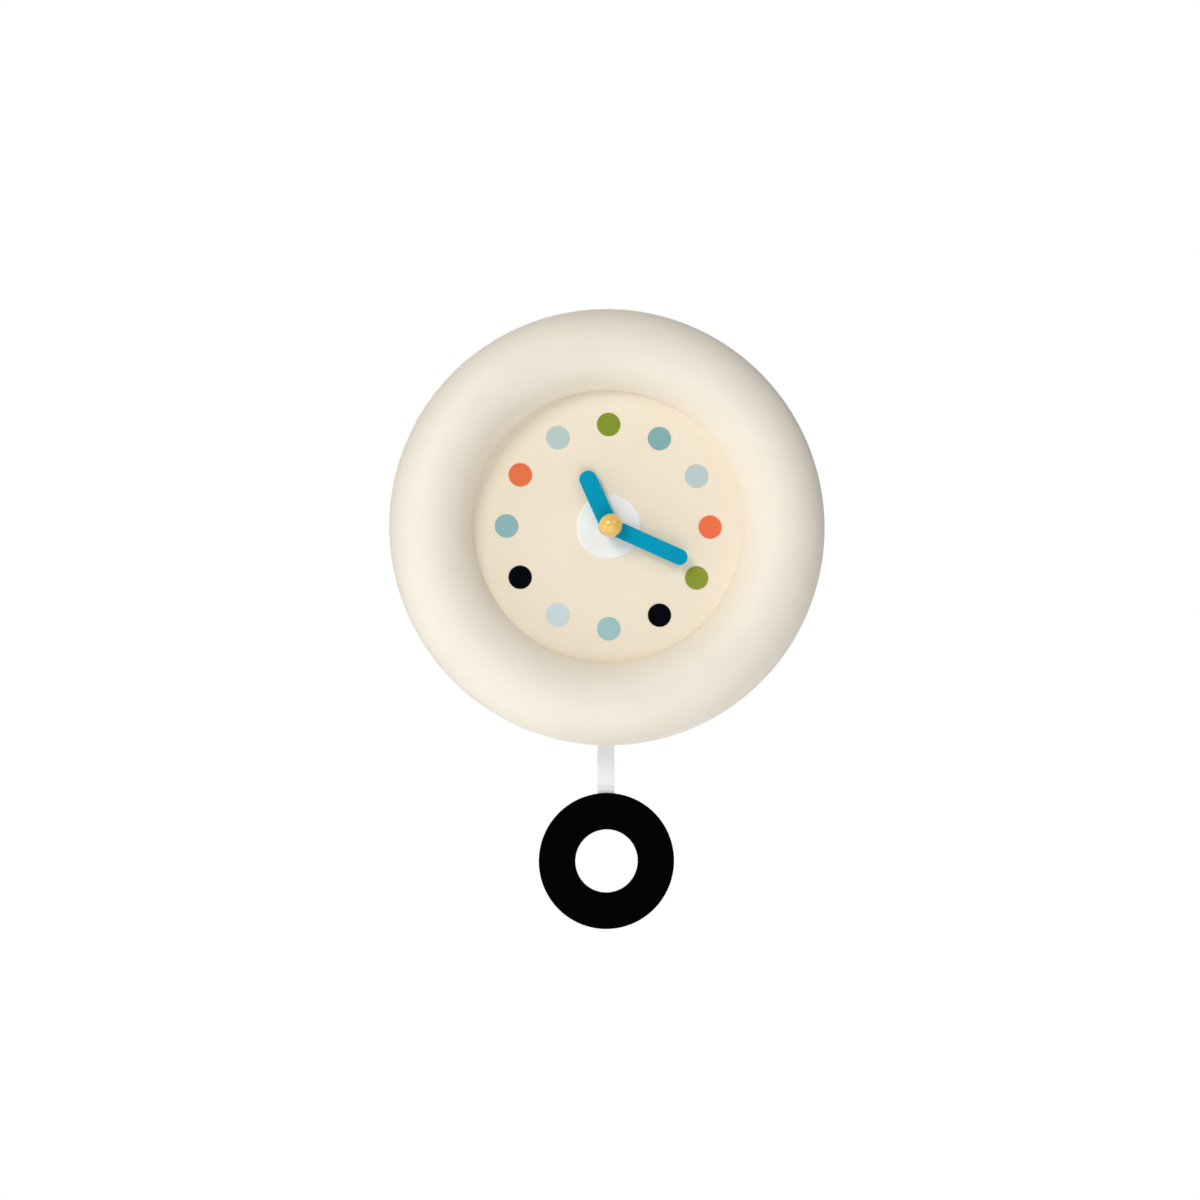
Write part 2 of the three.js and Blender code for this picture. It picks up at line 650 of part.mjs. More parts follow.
function rearHousing() {
  const outline = roundedRectangle(
    -movementHalfWidth,
    movementHalfWidth,
    movementBottom,
    movementTop,
    MOVEMENT_CORNER,
    CORNER_STEPS,
  );
  const blank = plate(outline, housingFront, movementRear);
  const half = bayHalfWidth;
  const open = housingFront - PAST_FACE;
  const leverRoom = PENDULUM_BAY_HEIGHT * Math.sin(SWING * RAD) + LEVER_WIDTH / 2 + RUN_GAP;
  const bays = [
    block(-half, half, open, housingFloor, trainBayBottom, trainBayTop),
    block(-half, half, open, movementRear + PAST_FACE, batteryBayBottom, batteryBayTop),
    block(-half, half, open, housingFloor, pendulumBayBottom, pendulumBayTop),
    block(
      -leverRoom,
      leverRoom,
      leverFront - LAYER_GAP * 2,
      leverBack + LAYER_GAP * 2,
      movementBottom - PAST_FACE,
      pendulumBayBottom + PAST_FACE,
    ),
  ];
  const socketFront = housingFloor - PAST_FACE;
  const pivots = [CENTRE, THIRD_PLACE, INTERMEDIATE_PLACE, ROTOR_PLACE];
  const sockets = pivots.map((place) =>
    disc(place, PIVOT_HOLE, socketFront, housingFloor + SOCKET_DEPTH, SMALL_SIDES),
  );
  const pinPlace = { x: 0, z: pivotZ };
  const pinSocketBack = housingFloor + SOCKET_DEPTH;
  const pinHole = PIVOT_PIN_RADIUS + FIT_GAP;
  sockets.push(disc(pinPlace, pinHole, socketFront, pinSocketBack, SMALL_SIDES));
  const knobHole = KNOB_SHAFT_RADIUS + FIT_GAP;
  const knobHoleBack = movementRear + PAST_FACE;
  sockets.push(disc(KNOB_PLACE, knobHole, socketFront, knobHoleBack, SMALL_SIDES));
  // ledges in the corners of the train bay carry the bridge
  const ledge = 2.2;
  const ledges = [];
  for (const side of [-1, 1]) {
    const inner = side * (half - ledge);
    const outer = side * (half + JOIN_LAP);
    const [left, right] = [Math.min(inner, outer), Math.max(inner, outer)];
    const ledgeFront = bridgeBack;
    const ledgeBack = housingFloor + JOIN_LAP;
    const high = trainBayTop + JOIN_LAP;
    const low = trainBayBottom - JOIN_LAP;
    ledges.push(block(left, right, ledgeFront, ledgeBack, trainBayTop - ledge, high));
    ledges.push(block(left, right, ledgeFront, ledgeBack, low, trainBayBottom + ledge));
  }
  return cut(joined([cut(blank, bays), ...ledges]), sockets);
}

function trainBridge() {
  const gap = FIT_GAP;
  const outline = rectangle(
    -bayHalfWidth + gap,
    bayHalfWidth - gap,
    trainBayBottom + gap,
    trainBayTop - gap,
  );
  const arborHole = circle(CENTRE, MINUTE_ARBOR_RADIUS + FIT_GAP, SMALL_SIDES);
  const knobHole = circle(KNOB_PLACE, KNOB_SHAFT_RADIUS + FIT_GAP, SMALL_SIDES);
  const pivots = [THIRD_PLACE, INTERMEDIATE_PLACE, ROTOR_PLACE, MINUTE_WHEEL_PLACE];
  const pivotHoles = pivots.map((place) => circle(place, PIVOT_HOLE, SMALL_SIDES));
  return plate(outline, bridgeFront, bridgeBack, [arborHole, knobHole, ...pivotHoles]);
}

// ---------------------------------------------------------------- wheels and arbors

const cannonGear = { place: CENTRE, teeth: MOTION_TEETH.cannon, phase: 0 };
const minuteGear = meshedWith(cannonGear, MINUTE_WHEEL_PLACE, MOTION_TEETH.minute);
const settingGear = meshedWith(minuteGear, KNOB_PLACE, MOTION_TEETH.setting);
const minutePinionGear = { place: MINUTE_WHEEL_PLACE, teeth: MOTION_TEETH.minutePinion, phase: 0 };
const hourGear = meshedWith(minutePinionGear, CENTRE, MOTION_TEETH.hour);

const secondsGear = { place: CENTRE, teeth: TRAIN_TEETH.seconds, phase: 0 };
const intermediatePinion = meshedWith(
  secondsGear,
  INTERMEDIATE_PLACE,
  TRAIN_TEETH.intermediatePinion,
);
const intermediateGear = { place: INTERMEDIATE_PLACE, teeth: TRAIN_TEETH.intermediate, phase: 0 };
const rotorPinion = meshedWith(intermediateGear, ROTOR_PLACE, TRAIN_TEETH.rotor);
const secondsPinion = { place: CENTRE, teeth: TRAIN_TEETH.secondsPinion, phase: 0 };
const thirdGear = meshedWith(secondsPinion, THIRD_PLACE, TRAIN_TEETH.third);
const thirdPinion = { place: THIRD_PLACE, teeth: TRAIN_TEETH.thirdPinion, phase: 0 };
const centreGear = meshedWith(thirdPinion, CENTRE, TRAIN_TEETH.centre);

function gear(wheel, module, front, back, bore = 0) {
  return toothed(wheel.place, wheel.teeth, module, wheel.phase, front, back, bore);
}

function minuteArbor() {
  const front = minuteHandFront + TUBE_STEP;
  const back = centreLayer + WHEEL_THICKNESS + LAYER_GAP;
  const stem = disc(CENTRE, MINUTE_ARBOR_RADIUS, front, back, SMALL_SIDES);
  const pinion = gear(cannonGear, MOTION_MODULE, motionWheelFront, motionWheelBack);
  const bore = disc(CENTRE, MINUTE_ARBOR_BORE, front - PAST_FACE, back + PAST_FACE, SMALL_SIDES);
  return cut(joined([stem, pinion]), [bore]);
}

function hourWheel() {
  const pipeFront = hourHandFront + TUBE_STEP;
  const boreFront = pipeFront - PAST_FACE;
  const pipe = disc(CENTRE, HOUR_PIPE_RADIUS, pipeFront, hourWheelBack, SMALL_SIDES);
  const wheel = gear(hourGear, MOTION_MODULE, hourWheelFront, hourWheelBack);
  const boreRadius = MINUTE_ARBOR_RADIUS + FIT_GAP;
  const bore = disc(CENTRE, boreRadius, boreFront, hourWheelBack + PAST_FACE, SMALL_SIDES);
  return cut(joined([pipe, wheel]), [bore]);
}

function minuteWheel() {
  const place = MINUTE_WHEEL_PLACE;
  return joined([
    gear(minuteGear, MOTION_MODULE, motionWheelFront, motionWheelBack),
    gear(minutePinionGear, MOTION_MODULE, hourWheelFront, motionWheelFront + JOIN_LAP),
    disc(
      place,
      ARBOR_RADIUS,
      housingFront - BEARING_DEPTH,
      bridgeFront + BEARING_DEPTH,
      SMALL_SIDES,
    ),
  ]);
}

function setKnob() {
  const knobFront = movementRear + FIT_GAP;
  const shaftFront = motionWheelBack - JOIN_LAP;
  const pivotFront = housingFront - BEARING_DEPTH;
  const rim = [];
  for (let i = 0; i < 2 * KNOB_FLUTES; i += 1) {
    const radius = i % 2 === 0 ? KNOB_RADIUS : KNOB_RADIUS - KNOB_FLUTE_DEPTH;
    const angle = (Math.PI * i) / KNOB_FLUTES;
    rim.push([KNOB_PLACE.x + radius * Math.cos(angle), KNOB_PLACE.z + radius * Math.sin(angle)]);
  }
  return joined([
    plate(rim, knobFront, knobFront + KNOB_HEIGHT),
    disc(KNOB_PLACE, KNOB_SHAFT_RADIUS, shaftFront, knobFront + JOIN_LAP, SMALL_SIDES),
    gear(settingGear, MOTION_MODULE, motionWheelFront, motionWheelBack),
    disc(KNOB_PLACE, ARBOR_RADIUS, pivotFront, motionWheelFront + JOIN_LAP, SMALL_SIDES),
  ]);
}

// Wheel with its pinion on one arbor between the bridge and the rear wall
function trainWheel(place, front, gears) {
  const arbor = disc(place, ARBOR_RADIUS, front, housingFloor + BEARING_DEPTH, SMALL_SIDES);
  return joined([arbor, ...gears]);
}

const bridgePivot = bridgeBack - BEARING_DEPTH;

function centreWheel() {
  const bore = MINUTE_ARBOR_RADIUS + FIT_GAP;
  return gear(centreGear, slowModule, centreLayer, centreLayer + WHEEL_THICKNESS, bore);
}

function thirdWheel() {
  return trainWheel(THIRD_PLACE, bridgePivot, [
    gear(thirdGear, thirdModule, thirdLayer, thirdLayer + WHEEL_THICKNESS),
    gear(thirdPinion, slowModule, centreLayer - SEAT_GAP, thirdLayer + JOIN_LAP),
  ]);
}

function secondsWheel() {
  const arborFront = centreLayer - BEARING_DEPTH;
  const pinionFront = centreLayer + WHEEL_THICKNESS + LAYER_GAP + FIT_GAP;
  return trainWheel(CENTRE, arborFront, [
    gear(secondsGear, fastModule, secondsLayer, secondsLayer + WHEEL_THICKNESS),
    gear(secondsPinion, thirdModule, pinionFront, secondsLayer + JOIN_LAP),
  ]);
}

function intermediateWheel() {
  const wheelBack = intermediateLayer + WHEEL_THICKNESS;
  return trainWheel(INTERMEDIATE_PLACE, bridgePivot, [
    gear(intermediateGear, fastModule, intermediateLayer, wheelBack),
    gear(intermediatePinion, fastModule, secondsLayer - SEAT_GAP, intermediateLayer + JOIN_LAP),
  ]);
}

const statorFront = (thirdLayer + secondsLayer) / 2;
const STATOR_THICKNESS = 0.8;
const ROTOR_MAGNET_LAP = 0.8; // rotor magnet past each face of the stator
const statorBack = statorFront + STATOR_THICKNESS;

function rotor() {
  const magnetFront = statorFront - ROTOR_MAGNET_LAP;
  const magnetBack = statorBack + ROTOR_MAGNET_LAP;
  const pinionBack = intermediateLayer + WHEEL_THICKNESS + SEAT_GAP;
  return trainWheel(ROTOR_PLACE, bridgePivot, [
    disc(ROTOR_PLACE, ROTOR_MAGNET_RADIUS, magnetFront, magnetBack, SMALL_SIDES),
    gear(rotorPinion, fastModule, magnetBack - JOIN_LAP, pinionBack),
  ]);
}

// ---------------------------------------------------------------- motor and electrics

const STATOR_SIDE_ROOM = 5.6; // left of the stator, for the crystal
const STATOR_BAR = 2; // width of the stator's bars and of the coil's core
const COIL_END_ROOM = { left: 3.5, right: 3 }; // from the stator's ends to the winding
const statorLeft = -bayHalfWidth + STATOR_SIDE_ROOM;
const coilLeft = statorLeft + COIL_END_ROOM.left;
const coilRight = ROTOR_PLACE.x - STATOR_REACH - COIL_END_ROOM.right;

function stator() {
  const right = ROTOR_PLACE.x + STATOR_REACH;
  const ringLeft = ROTOR_PLACE.x - STATOR_REACH;
  const bottom = ROTOR_PLACE.z - STATOR_REACH + JOIN_LAP;
  const top = coilZ + STATOR_BAR / 2;
  const limbTop = ROTOR_PLACE.z - STATOR_BAR / 2;
  const limbBottom = limbTop - STATOR_BAR;
  const outline = [
    [right, bottom],
    [right, top],
    [statorLeft, top],
    [statorLeft, limbBottom],
    [ringLeft, limbBottom],
    [ringLeft, bottom],
  ];
  const window = rectangle(statorLeft + STATOR_BAR, ringLeft, limbTop, top - STATOR_BAR);
  const rotorHole = circle(ROTOR_PLACE, ROTOR_MAGNET_RADIUS + 2 * FIT_GAP, SMALL_SIDES);
  return plate(outline, statorFront, statorBack, [window, rotorHole]);
}

function timeCoil() {
  const middle = (statorFront + statorBack) / 2;
  const winding = barAlongX(coilLeft, coilRight, middle, coilZ, TIME_COIL_RADIUS, SMALL_SIDES);
  const halfY = STATOR_THICKNESS / 2 + FIT_GAP;
  const halfZ = STATOR_BAR / 2 + FIT_GAP;
  const core = block(
    coilLeft - PAST_FACE,
    coilRight + PAST_FACE,
    middle - halfY,
    middle + halfY,
    coilZ - halfZ,
    coilZ + halfZ,
  );
  return cut(winding, [core]);
}

const BOARD_THICKNESS = 1;
const BOARD_EDGE_ROOM = 2.8; // from the bay's walls and ledges
const CHIP = { radius: 2.2, height: 0.6, fromBoardEdge: 4 };
const CRYSTAL = { radius: 1, length: 5 };
const boardLeft = -bayHalfWidth + BOARD_EDGE_ROOM;
const boardRight = THIRD_PLACE.x;
const boardBack = housingFloor - 2 * LAYER_GAP;
const boardFront = boardBack - BOARD_THICKNESS;
const boardBottom = ROTOR_PLACE.z - BOARD_EDGE_ROOM;
const boardTop = trainBayTop - BOARD_EDGE_ROOM;

function circuitBoard() {
  const board = block(boardLeft, boardRight, boardFront, boardBack, boardBottom, boardTop);
  const chipPlace = { x: boardRight - CHIP.fromBoardEdge, z: boardBottom + CHIP.radius + LAYER_GAP };
  const chipFront = boardFront - CHIP.height;
  const chip = disc(chipPlace, CHIP.radius, chipFront, boardFront + JOIN_LAP, SMALL_SIDES);
  return joined([board, chip]);
}

function quartzCrystal() {
  const left = boardLeft + FIT_GAP;
  const y = boardFront - CRYSTAL.radius - FIT_GAP;
  const z = boardTop - 1.5 * CRYSTAL.radius;
  return barAlongX(left, left + CRYSTAL.length, y, z, CRYSTAL.radius, SMALL_SIDES);
}

// Dry cell: a can and the positive nub at its right-hand end
const BATTERY_NUB = { radius: 2.7, length: 1.4 };
const batteryLeft = -BATTERY_LENGTH / 2;
const batteryRight = BATTERY_LENGTH / 2;
const batteryY = movementRear - BATTERY_INSET - BATTERY_DIAMETER / 2;

function battery() {
  const canRight = batteryRight - BATTERY_NUB.length;
  const nubLeft = canRight - JOIN_LAP;
  return joined([
    barAlongX(batteryLeft, canRight, batteryY, batteryZ, BATTERY_DIAMETER / 2, ROUND_SIDES),
    barAlongX(nubLeft, batteryRight, batteryY, batteryZ, BATTERY_NUB.radius, SMALL_SIDES),
  ]);
}

const CONTACT_THICKNESS = 0.4;
const CONTACT_HALF = 5; // half of a contact's height, and of the flat one's depth
const LEAF_HALF_WIDTH = 4;

function positiveContact() {
  const inner = batteryRight + FIT_GAP;
  return block(
    inner,
    inner + CONTACT_THICKNESS,
    batteryY - CONTACT_HALF,
    batteryY + CONTACT_HALF,
    batteryZ - CONTACT_HALF,
    batteryZ + CONTACT_HALF,
  );
}

// Flat strip with a bowed leaf that presses on the battery's flat end
function negativeContact() {
  const left = -bayHalfWidth + JOIN_LAP;
  const right = batteryLeft - FIT_GAP;
  const bow = right - left - CONTACT_THICKNESS;
  const outline = [[left, batteryZ - CONTACT_HALF]];
  const inside = [];
  for (let i = 0; i <= ARC_STEPS; i += 1) {
    const along = i / ARC_STEPS;
    const z = batteryZ - CONTACT_HALF + 2 * CONTACT_HALF * along;
    const out = Math.sin(Math.PI * along) * bow;
    outline.push([left + CONTACT_THICKNESS + out, z]);
    if (i > 1 && i < ARC_STEPS - 1) {
      inside.push([left + out, z]);
    }
  }
  outline.push([left, batteryZ + CONTACT_HALF]);
  const flat = left + CONTACT_THICKNESS / 2;
  const low = inside[0][1];
  const high = inside[inside.length - 1][1];
  const hole = [[flat, low], ...inside, [flat, high]];
  return plate(outline, batteryY - LEAF_HALF_WIDTH, batteryY + LEAF_HALF_WIDTH, [hole]);
}

// ---------------------------------------------------------------- pendulum

function pivotPin() {
  const place = { x: 0, z: pivotZ };
  const front = housingFront - BEARING_DEPTH;
  const back = housingFloor + BEARING_DEPTH;
  return disc(place, PIVOT_PIN_RADIUS, front, back, SMALL_SIDES);
}

const HUB_STEP = 1; // hub past the lever's sides and faces
const HOOK_PIN_REACH = 1.5; // hook pin past the rod's back

function pendulumLever() {
  const pivot = { x: 0, z: pivotZ };
  const hook = { x: 0, z: hookZ };
  const hubFront = leverFront - HUB_STEP;
  const hubBack = leverBack + HUB_STEP;
  const arm = plate(roundEnded(LEVER_WIDTH, hookZ, pivotZ, ARC_STEPS), leverFront, leverBack);
  const hub = disc(pivot, LEVER_WIDTH / 2 + HUB_STEP, hubFront, hubBack, ROUND_SIDES);
  const pinBack = rodBack + HOOK_PIN_REACH;
  const pin = disc(hook, HOOK_PIN_RADIUS, leverBack - JOIN_LAP, pinBack, SMALL_SIDES);
  const boreRadius = PIVOT_PIN_RADIUS + FIT_GAP;
  const bore = disc(pivot, boreRadius, hubFront - PAST_FACE, hubBack + PAST_FACE, SMALL_SIDES);
  return cut(joined([arm, hub, pin]), [bore]);
}

function pendulumMagnet() {
  const back = leverFront - SEAT_GAP;
  const place = { x: 0, z: magnetZ };
  return disc(place, MAGNET_RADIUS, back - MAGNET_THICKNESS, back, ROUND_SIDES);
}

function pendulumCoil() {
  const place = { x: 0, z: magnetZ };
  const back = leverFront - SEAT_GAP - MAGNET_THICKNESS - RUN_GAP;
  const front = housingFront + RUN_GAP / 2;
  const hole = [circle(place, PENDULUM_COIL_BORE, SMALL_SIDES)];
  return plate(circle(place, PENDULUM_COIL_RADIUS, ROUND_SIDES), front, back, hole);
}

const STUD_REACH = 0.8; // clip stud past the rod's back

function pendulumRod() {
  const half = ROD_WIDTH / 2;
  const bottom = studZ - ROD_END_MARGIN;
  const outline = [
    ...arc(0, rodTop - half, half, 0, 180, ARC_STEPS),
    [-half, bottom],
    [half, bottom],
  ];
  const eye = circle({ x: 0, z: hookZ }, HOOK_PIN_RADIUS + FIT_GAP, SMALL_SIDES);
  const studHole = circle({ x: 0, z: studZ }, HOOK_PIN_RADIUS + FIT_GAP, SMALL_SIDES);
  return plate(outline, rodFront, rodBack, [eye, studHole]);
}

function bobClip() {
  const half = ROD_WIDTH / 2;
  const tongue = plate(
    rectangle(-half, half, clipBottom, -ROD_VISIBLE_END),
    clipFront,
    clipBack,
  );
  const place = { x: 0, z: studZ };
  const studFront = clipBack - JOIN_LAP;
  const studBack = rodBack + STUD_REACH;
  const stud = disc(place, HOOK_PIN_RADIUS, studFront, studBack, SMALL_SIDES);
  return joined([tongue, stud]);
}

function pendulumBob() {
  const place = { x: 0, z: -BOB_DROP };
  const sides = 2 * ROUND_SIDES;
  const hole = [circle(place, BOB_HOLE_RADIUS, sides)];
  return plate(circle(place, BOB_RADIUS, sides), bobFront, bobBack, hole);
}

// ---------------------------------------------------------------- assembly

const clock = new THREE.Group();
const atCase = new THREE.Group();
atCase.position.z = -HANG_DROP;
clock.add(atCase);

atCase.add(
  piece('front_shell', frontShell(), CREAM_PLASTIC),
  piece('rear_cover', rearCover(), CREAM_PLASTIC),
  piece('dial', dialDisc(), DIAL_PAINT),
);

FASTENER_ANGLES.forEach((angle, i) => {
  const dialPlace = around(CENTRE, dialScrewCircle, angle);
  const dialHeadBack = dialBack + SEAT_GAP + DIAL_SCREW.headHeight;
  const coverPlace = around(CENTRE, coverScrewCircle, angle);
  const coverHeadBack = 0;
  atCase.add(
    piece(`dial_screw_${i + 1}`, screw(dialPlace, DIAL_SCREW, dialHeadBack), STEEL),
    piece(`rear_cover_screw_${i + 1}`, screw(coverPlace, COVER_SCREW, coverHeadBack), STEEL),
  );
});

const centreDisc = washerLike(
  CENTRE_DISC_RADIUS,
  BUSH_RADIUS + FIT_GAP,
  centreDiscFront,
  dialFront,
  2 * ROUND_SIDES,
);
atCase.add(piece('centre_disc', centreDisc, WHITE_PLASTIC));

for (let hour = 1; hour <= MARKER_COUNT; hour += 1) {
  const place = around(CENTRE, MARKER_CIRCLE_RADIUS, 90 - (360 / MARKER_COUNT) * hour);
  const dot = disc(place, MARKER_RADIUS, markerFront, dialFront, ROUND_SIDES);
  const look = { color: MARKER_COLOURS[hour - 1], roughness: 0.6 };
  atCase.add(piece(`hour_marker_${String(hour).padStart(2, '0')}`, dot, look));
}

const washerBack = centreDiscFront - SEAT_GAP;
const washer = washerLike(
  NUT_ACROSS_FLATS / 2 + WASHER_MARGIN,
  BUSH_RADIUS + FIT_GAP,
  washerFront,
  washerBack,
  ROUND_SIDES,
);
const bushBore = HOUR_PIPE_RADIUS + FIT_GAP;
const bush = washerLike(
  BUSH_RADIUS,
  bushBore,
  nutFront - TUBE_STEP,
  housingFront - SEAT_GAP,
  ROUND_SIDES,
);
atCase.add(
  piece('fixing_washer', washer, BRASS),
  piece('fixing_nut', fixingNut(), BRASS),
  piece('threaded_bush', bush, BRASS),
);

// The hands are turned to the time shown
const hourBore = HOUR_PIPE_RADIUS + FIT_GAP;
const hourHand = piece(
  'hour_hand',
  hand(HOUR_HAND, hourBore, hourHandFront, hourHandBack),
  HAND_BLUE,
);
hourHand.rotation.y = HOUR_HAND.angle * RAD;
const minuteBore = MINUTE_ARBOR_RADIUS + FIT_GAP;
const minuteHand = piece(
  'minute_hand',
  hand(MINUTE_HAND, minuteBore, minuteHandFront, minuteHandBack),
  HAND_BLUE,
);
minuteHand.rotation.y = MINUTE_HAND.angle * RAD;
atCase.add(hourHand, minuteHand, piece('hub_cap', hubCap(), CAP_YELLOW));

atCase.add(
  piece('movement_front_plate', frontPlate(), BLACK_PLASTIC),
  piece('movement_rear_housing', rearHousing(), BLACK_PLASTIC),
  piece('train_bridge', trainBridge(), WHITE_PLASTIC),
);

atCase.add(
  piece('minute_arbor', minuteArbor(), BRASS),
  piece('hour_wheel', hourWheel(), WHITE_PLASTIC),
  piece('minute_wheel', minuteWheel(), WHITE_PLASTIC),
  piece('set_knob', setKnob(), BLACK_PLASTIC),
);

atCase.add(
  piece('rotor', rotor(), GREY_PLASTIC),
  piece('intermediate_wheel', intermediateWheel(), WHITE_PLASTIC),
  piece('seconds_wheel', secondsWheel(), WHITE_PLASTIC),
  piece('third_wheel', thirdWheel(), WHITE_PLASTIC),
  piece('centre_wheel', centreWheel(), WHITE_PLASTIC),
);

atCase.add(
  piece('stator', stator(), STEEL),
  piece('time_coil', timeCoil(), COPPER),
  piece('circuit_board', circuitBoard(), BOARD_GREEN),
  piece('quartz_crystal', quartzCrystal(), STEEL),
);

atCase.add(
  piece('battery', battery(), GREY_PLASTIC),
  piece('contact_positive', positiveContact(), STEEL),
  piece('contact_negative', negativeContact(), STEEL),
);

atCase.add(
  piece('pendulum_pivot_pin', pivotPin(), STEEL),
  piece('pendulum_lever', pendulumLever(), WHITE_PLASTIC),
  piece('pendulum_magnet', pendulumMagnet(), STEEL),
  piece('pendulum_coil', pendulumCoil(), COPPER),
  piece('pendulum_rod', pendulumRod(), WHITE_PLASTIC),
  piece('bob_clip', bobClip(), WHITE_PLASTIC),
  piece('pendulum_bob', pendulumBob(), BLACK_PLASTIC),
);

export default clock;
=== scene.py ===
import math

import bmesh
import bpy
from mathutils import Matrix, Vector
from mathutils.geometry import tessellate_polygon


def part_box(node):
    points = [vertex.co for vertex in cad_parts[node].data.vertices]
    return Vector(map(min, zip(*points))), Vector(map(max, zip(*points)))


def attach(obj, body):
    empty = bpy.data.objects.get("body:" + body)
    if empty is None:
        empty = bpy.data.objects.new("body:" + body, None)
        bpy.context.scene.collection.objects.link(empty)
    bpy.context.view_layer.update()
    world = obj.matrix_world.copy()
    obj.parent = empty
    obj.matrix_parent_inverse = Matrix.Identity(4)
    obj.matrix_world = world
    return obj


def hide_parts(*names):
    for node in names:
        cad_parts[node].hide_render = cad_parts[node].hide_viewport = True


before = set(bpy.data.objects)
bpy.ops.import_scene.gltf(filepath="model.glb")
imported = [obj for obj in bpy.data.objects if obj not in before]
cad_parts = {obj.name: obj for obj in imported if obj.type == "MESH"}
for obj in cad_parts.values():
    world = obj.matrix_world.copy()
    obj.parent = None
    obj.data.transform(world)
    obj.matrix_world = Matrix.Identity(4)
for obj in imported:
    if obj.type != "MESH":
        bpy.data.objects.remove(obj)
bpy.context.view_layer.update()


# Front shell. The rounded ring of the case, injection moulded in cream plastic with a fine spark
# texture. It is a hollow section turned about the middle of the dial, with screw bosses inside
# and a gap in its back rim for the pendulum rod.

MM = 0.001
case_z = sum(corner.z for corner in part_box("dial")) / 2 / MM
TUBE_RADIUS = 23.55
SHELL_WALL = 2.6
REAR_ARC = math.radians(60)
LIP_ROUNDING = 0.3
RIM_ROUNDING = 0.35
SEAT_ROUNDING = 0.2
RING_SIDES = 200
OUTER_STEPS = 60
INNER_STEPS = 30
SCREW_ANGLES = (45, 135, 225, 315)
COVER_POST_RADIUS = 4
DIAL_POST_RADIUS = 3.4
COVER_SCREW_HOLE = 1.7  # radius
DIAL_SCREW_HOLE = 1.6  # radius
SWING_ROOM = 19.6  # half the width of the gap that the pendulum swings in
ROOM_BEFORE_ROD = 1.5
NOTCH_DROP = 126  # from the middle of the dial to below the rim
NOTCH_INSIDE = 4  # how far the notch runs inward of the cover's seat
CREASE = math.radians(20)  # edges that turn by more than this stay crisp
FLAT_EDGE = 0.12  # strip beside a rounded edge that keeps the flat face flat
SEAT_GAP = 0.1
FIT_GAP = 0.3
PAST_FACE = 1  # how far a cutting shape runs past the face that it opens


def edges_of(node):
    """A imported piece's left, right, front, back, bottom and top, in millimetres."""
    low, high = (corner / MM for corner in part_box(node))
    return low.x, high.x, low.y, high.y, low.z, high.z


def middle_of(node):
    """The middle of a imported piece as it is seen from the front: across and up."""
    left, right, _, _, bottom, top = edges_of(node)
    return (left + right) / 2, (bottom + top) / 2


def arc(middle_a, middle_b, radius, start, end, steps):
    """Points along part of a circle, between two angles in radians."""
    turn_relief_and_shade = [start + (end - start) * i / steps for i in range(steps + 1)]
    return [(middle_a + radius * math.cos(a), middle_b + radius * math.sin(a)) for a in turn_relief_and_shade]


def softened(corners, closed=True, steps=5):
    """An outline with rounded corners. A corner is (a, b, rounding), and 0 leaves it as it is."""
    points = []
    for i, (a, b, *rounding) in enumerate(corners):
        here = Vector((a, b))
        if not rounding or rounding[0] == 0:
            points.append(tuple(here))
            continue
        back = (Vector(corners[i - 1][:2]) - here).normalized()
        onward = (Vector(corners[(i + 1) % len(corners)][:2]) - here).normalized()
        half = back.angle(onward) / 2
        reach = rounding[0] / math.tan(half)
        middle = here + (back + onward).normalized() * rounding[0] / math.sin(half)
        first = here + back * reach - middle
        last = here + onward * reach - middle
        start = math.atan2(first.y, first.x)
        sweep = math.remainder(math.atan2(last.y, last.x) - start, math.tau)
        points.append(tuple(here + back * (reach + FLAT_EDGE)))
        points += arc(*middle, rounding[0], start, start + sweep, steps)
        points.append(tuple(here + onward * (reach + FLAT_EDGE)))
    return points


class Wire:
    """An output of a node. Arithmetic on wires adds the Math nodes that work it out."""

    def __init__(self, socket):
        self.socket = socket
        self.tree = socket.id_data

    @staticmethod
    def node(tree, kind, settings=(), sockets=(), out=0):
        """Adds a node: its settings first, then values or wires on its sockets."""
        made = tree.nodes.new(kind)
        for name, value in dict(settings).items():
            setattr(made, name, value)
        for name, value in dict(sockets).items():
            if isinstance(value, Wire):
                tree.links.new(value.socket, made.inputs[name])
            else:
                made.inputs[name].default_value = value
        return Wire(made.outputs[out]) if len(made.outputs) else made

    def maths(self, operation, *numbers):
        sockets = dict(enumerate(numbers))
        return Wire.node(self.tree, "ShaderNodeMath", {"operation": operation}, sockets)

    def __add__(self, other):
        return self.maths("ADD", self, other)

    __radd__ = __add__

    def __sub__(self, other):
        return self.maths("SUBTRACT", self, other)

    def __rsub__(self, other):
        return self.maths("SUBTRACT", other, self)

    def __mul__(self, other):
        return self.maths("MULTIPLY", self, other)

    __rmul__ = __mul__

    def __truediv__(self, other):
        return self.maths("DIVIDE", self, other)

    def above(self, limit):
        return self.maths("GREATER_THAN", self, limit)

    def below(self, limit):
        return self.maths("LESS_THAN", self, limit)

    def parts(self):
        """The three numbers of a vector wire."""
        split = self.tree.nodes.new("ShaderNodeSeparateXYZ")
        self.tree.links.new(self.socket, split.inputs[0])
        return [Wire(output) for output in split.outputs]


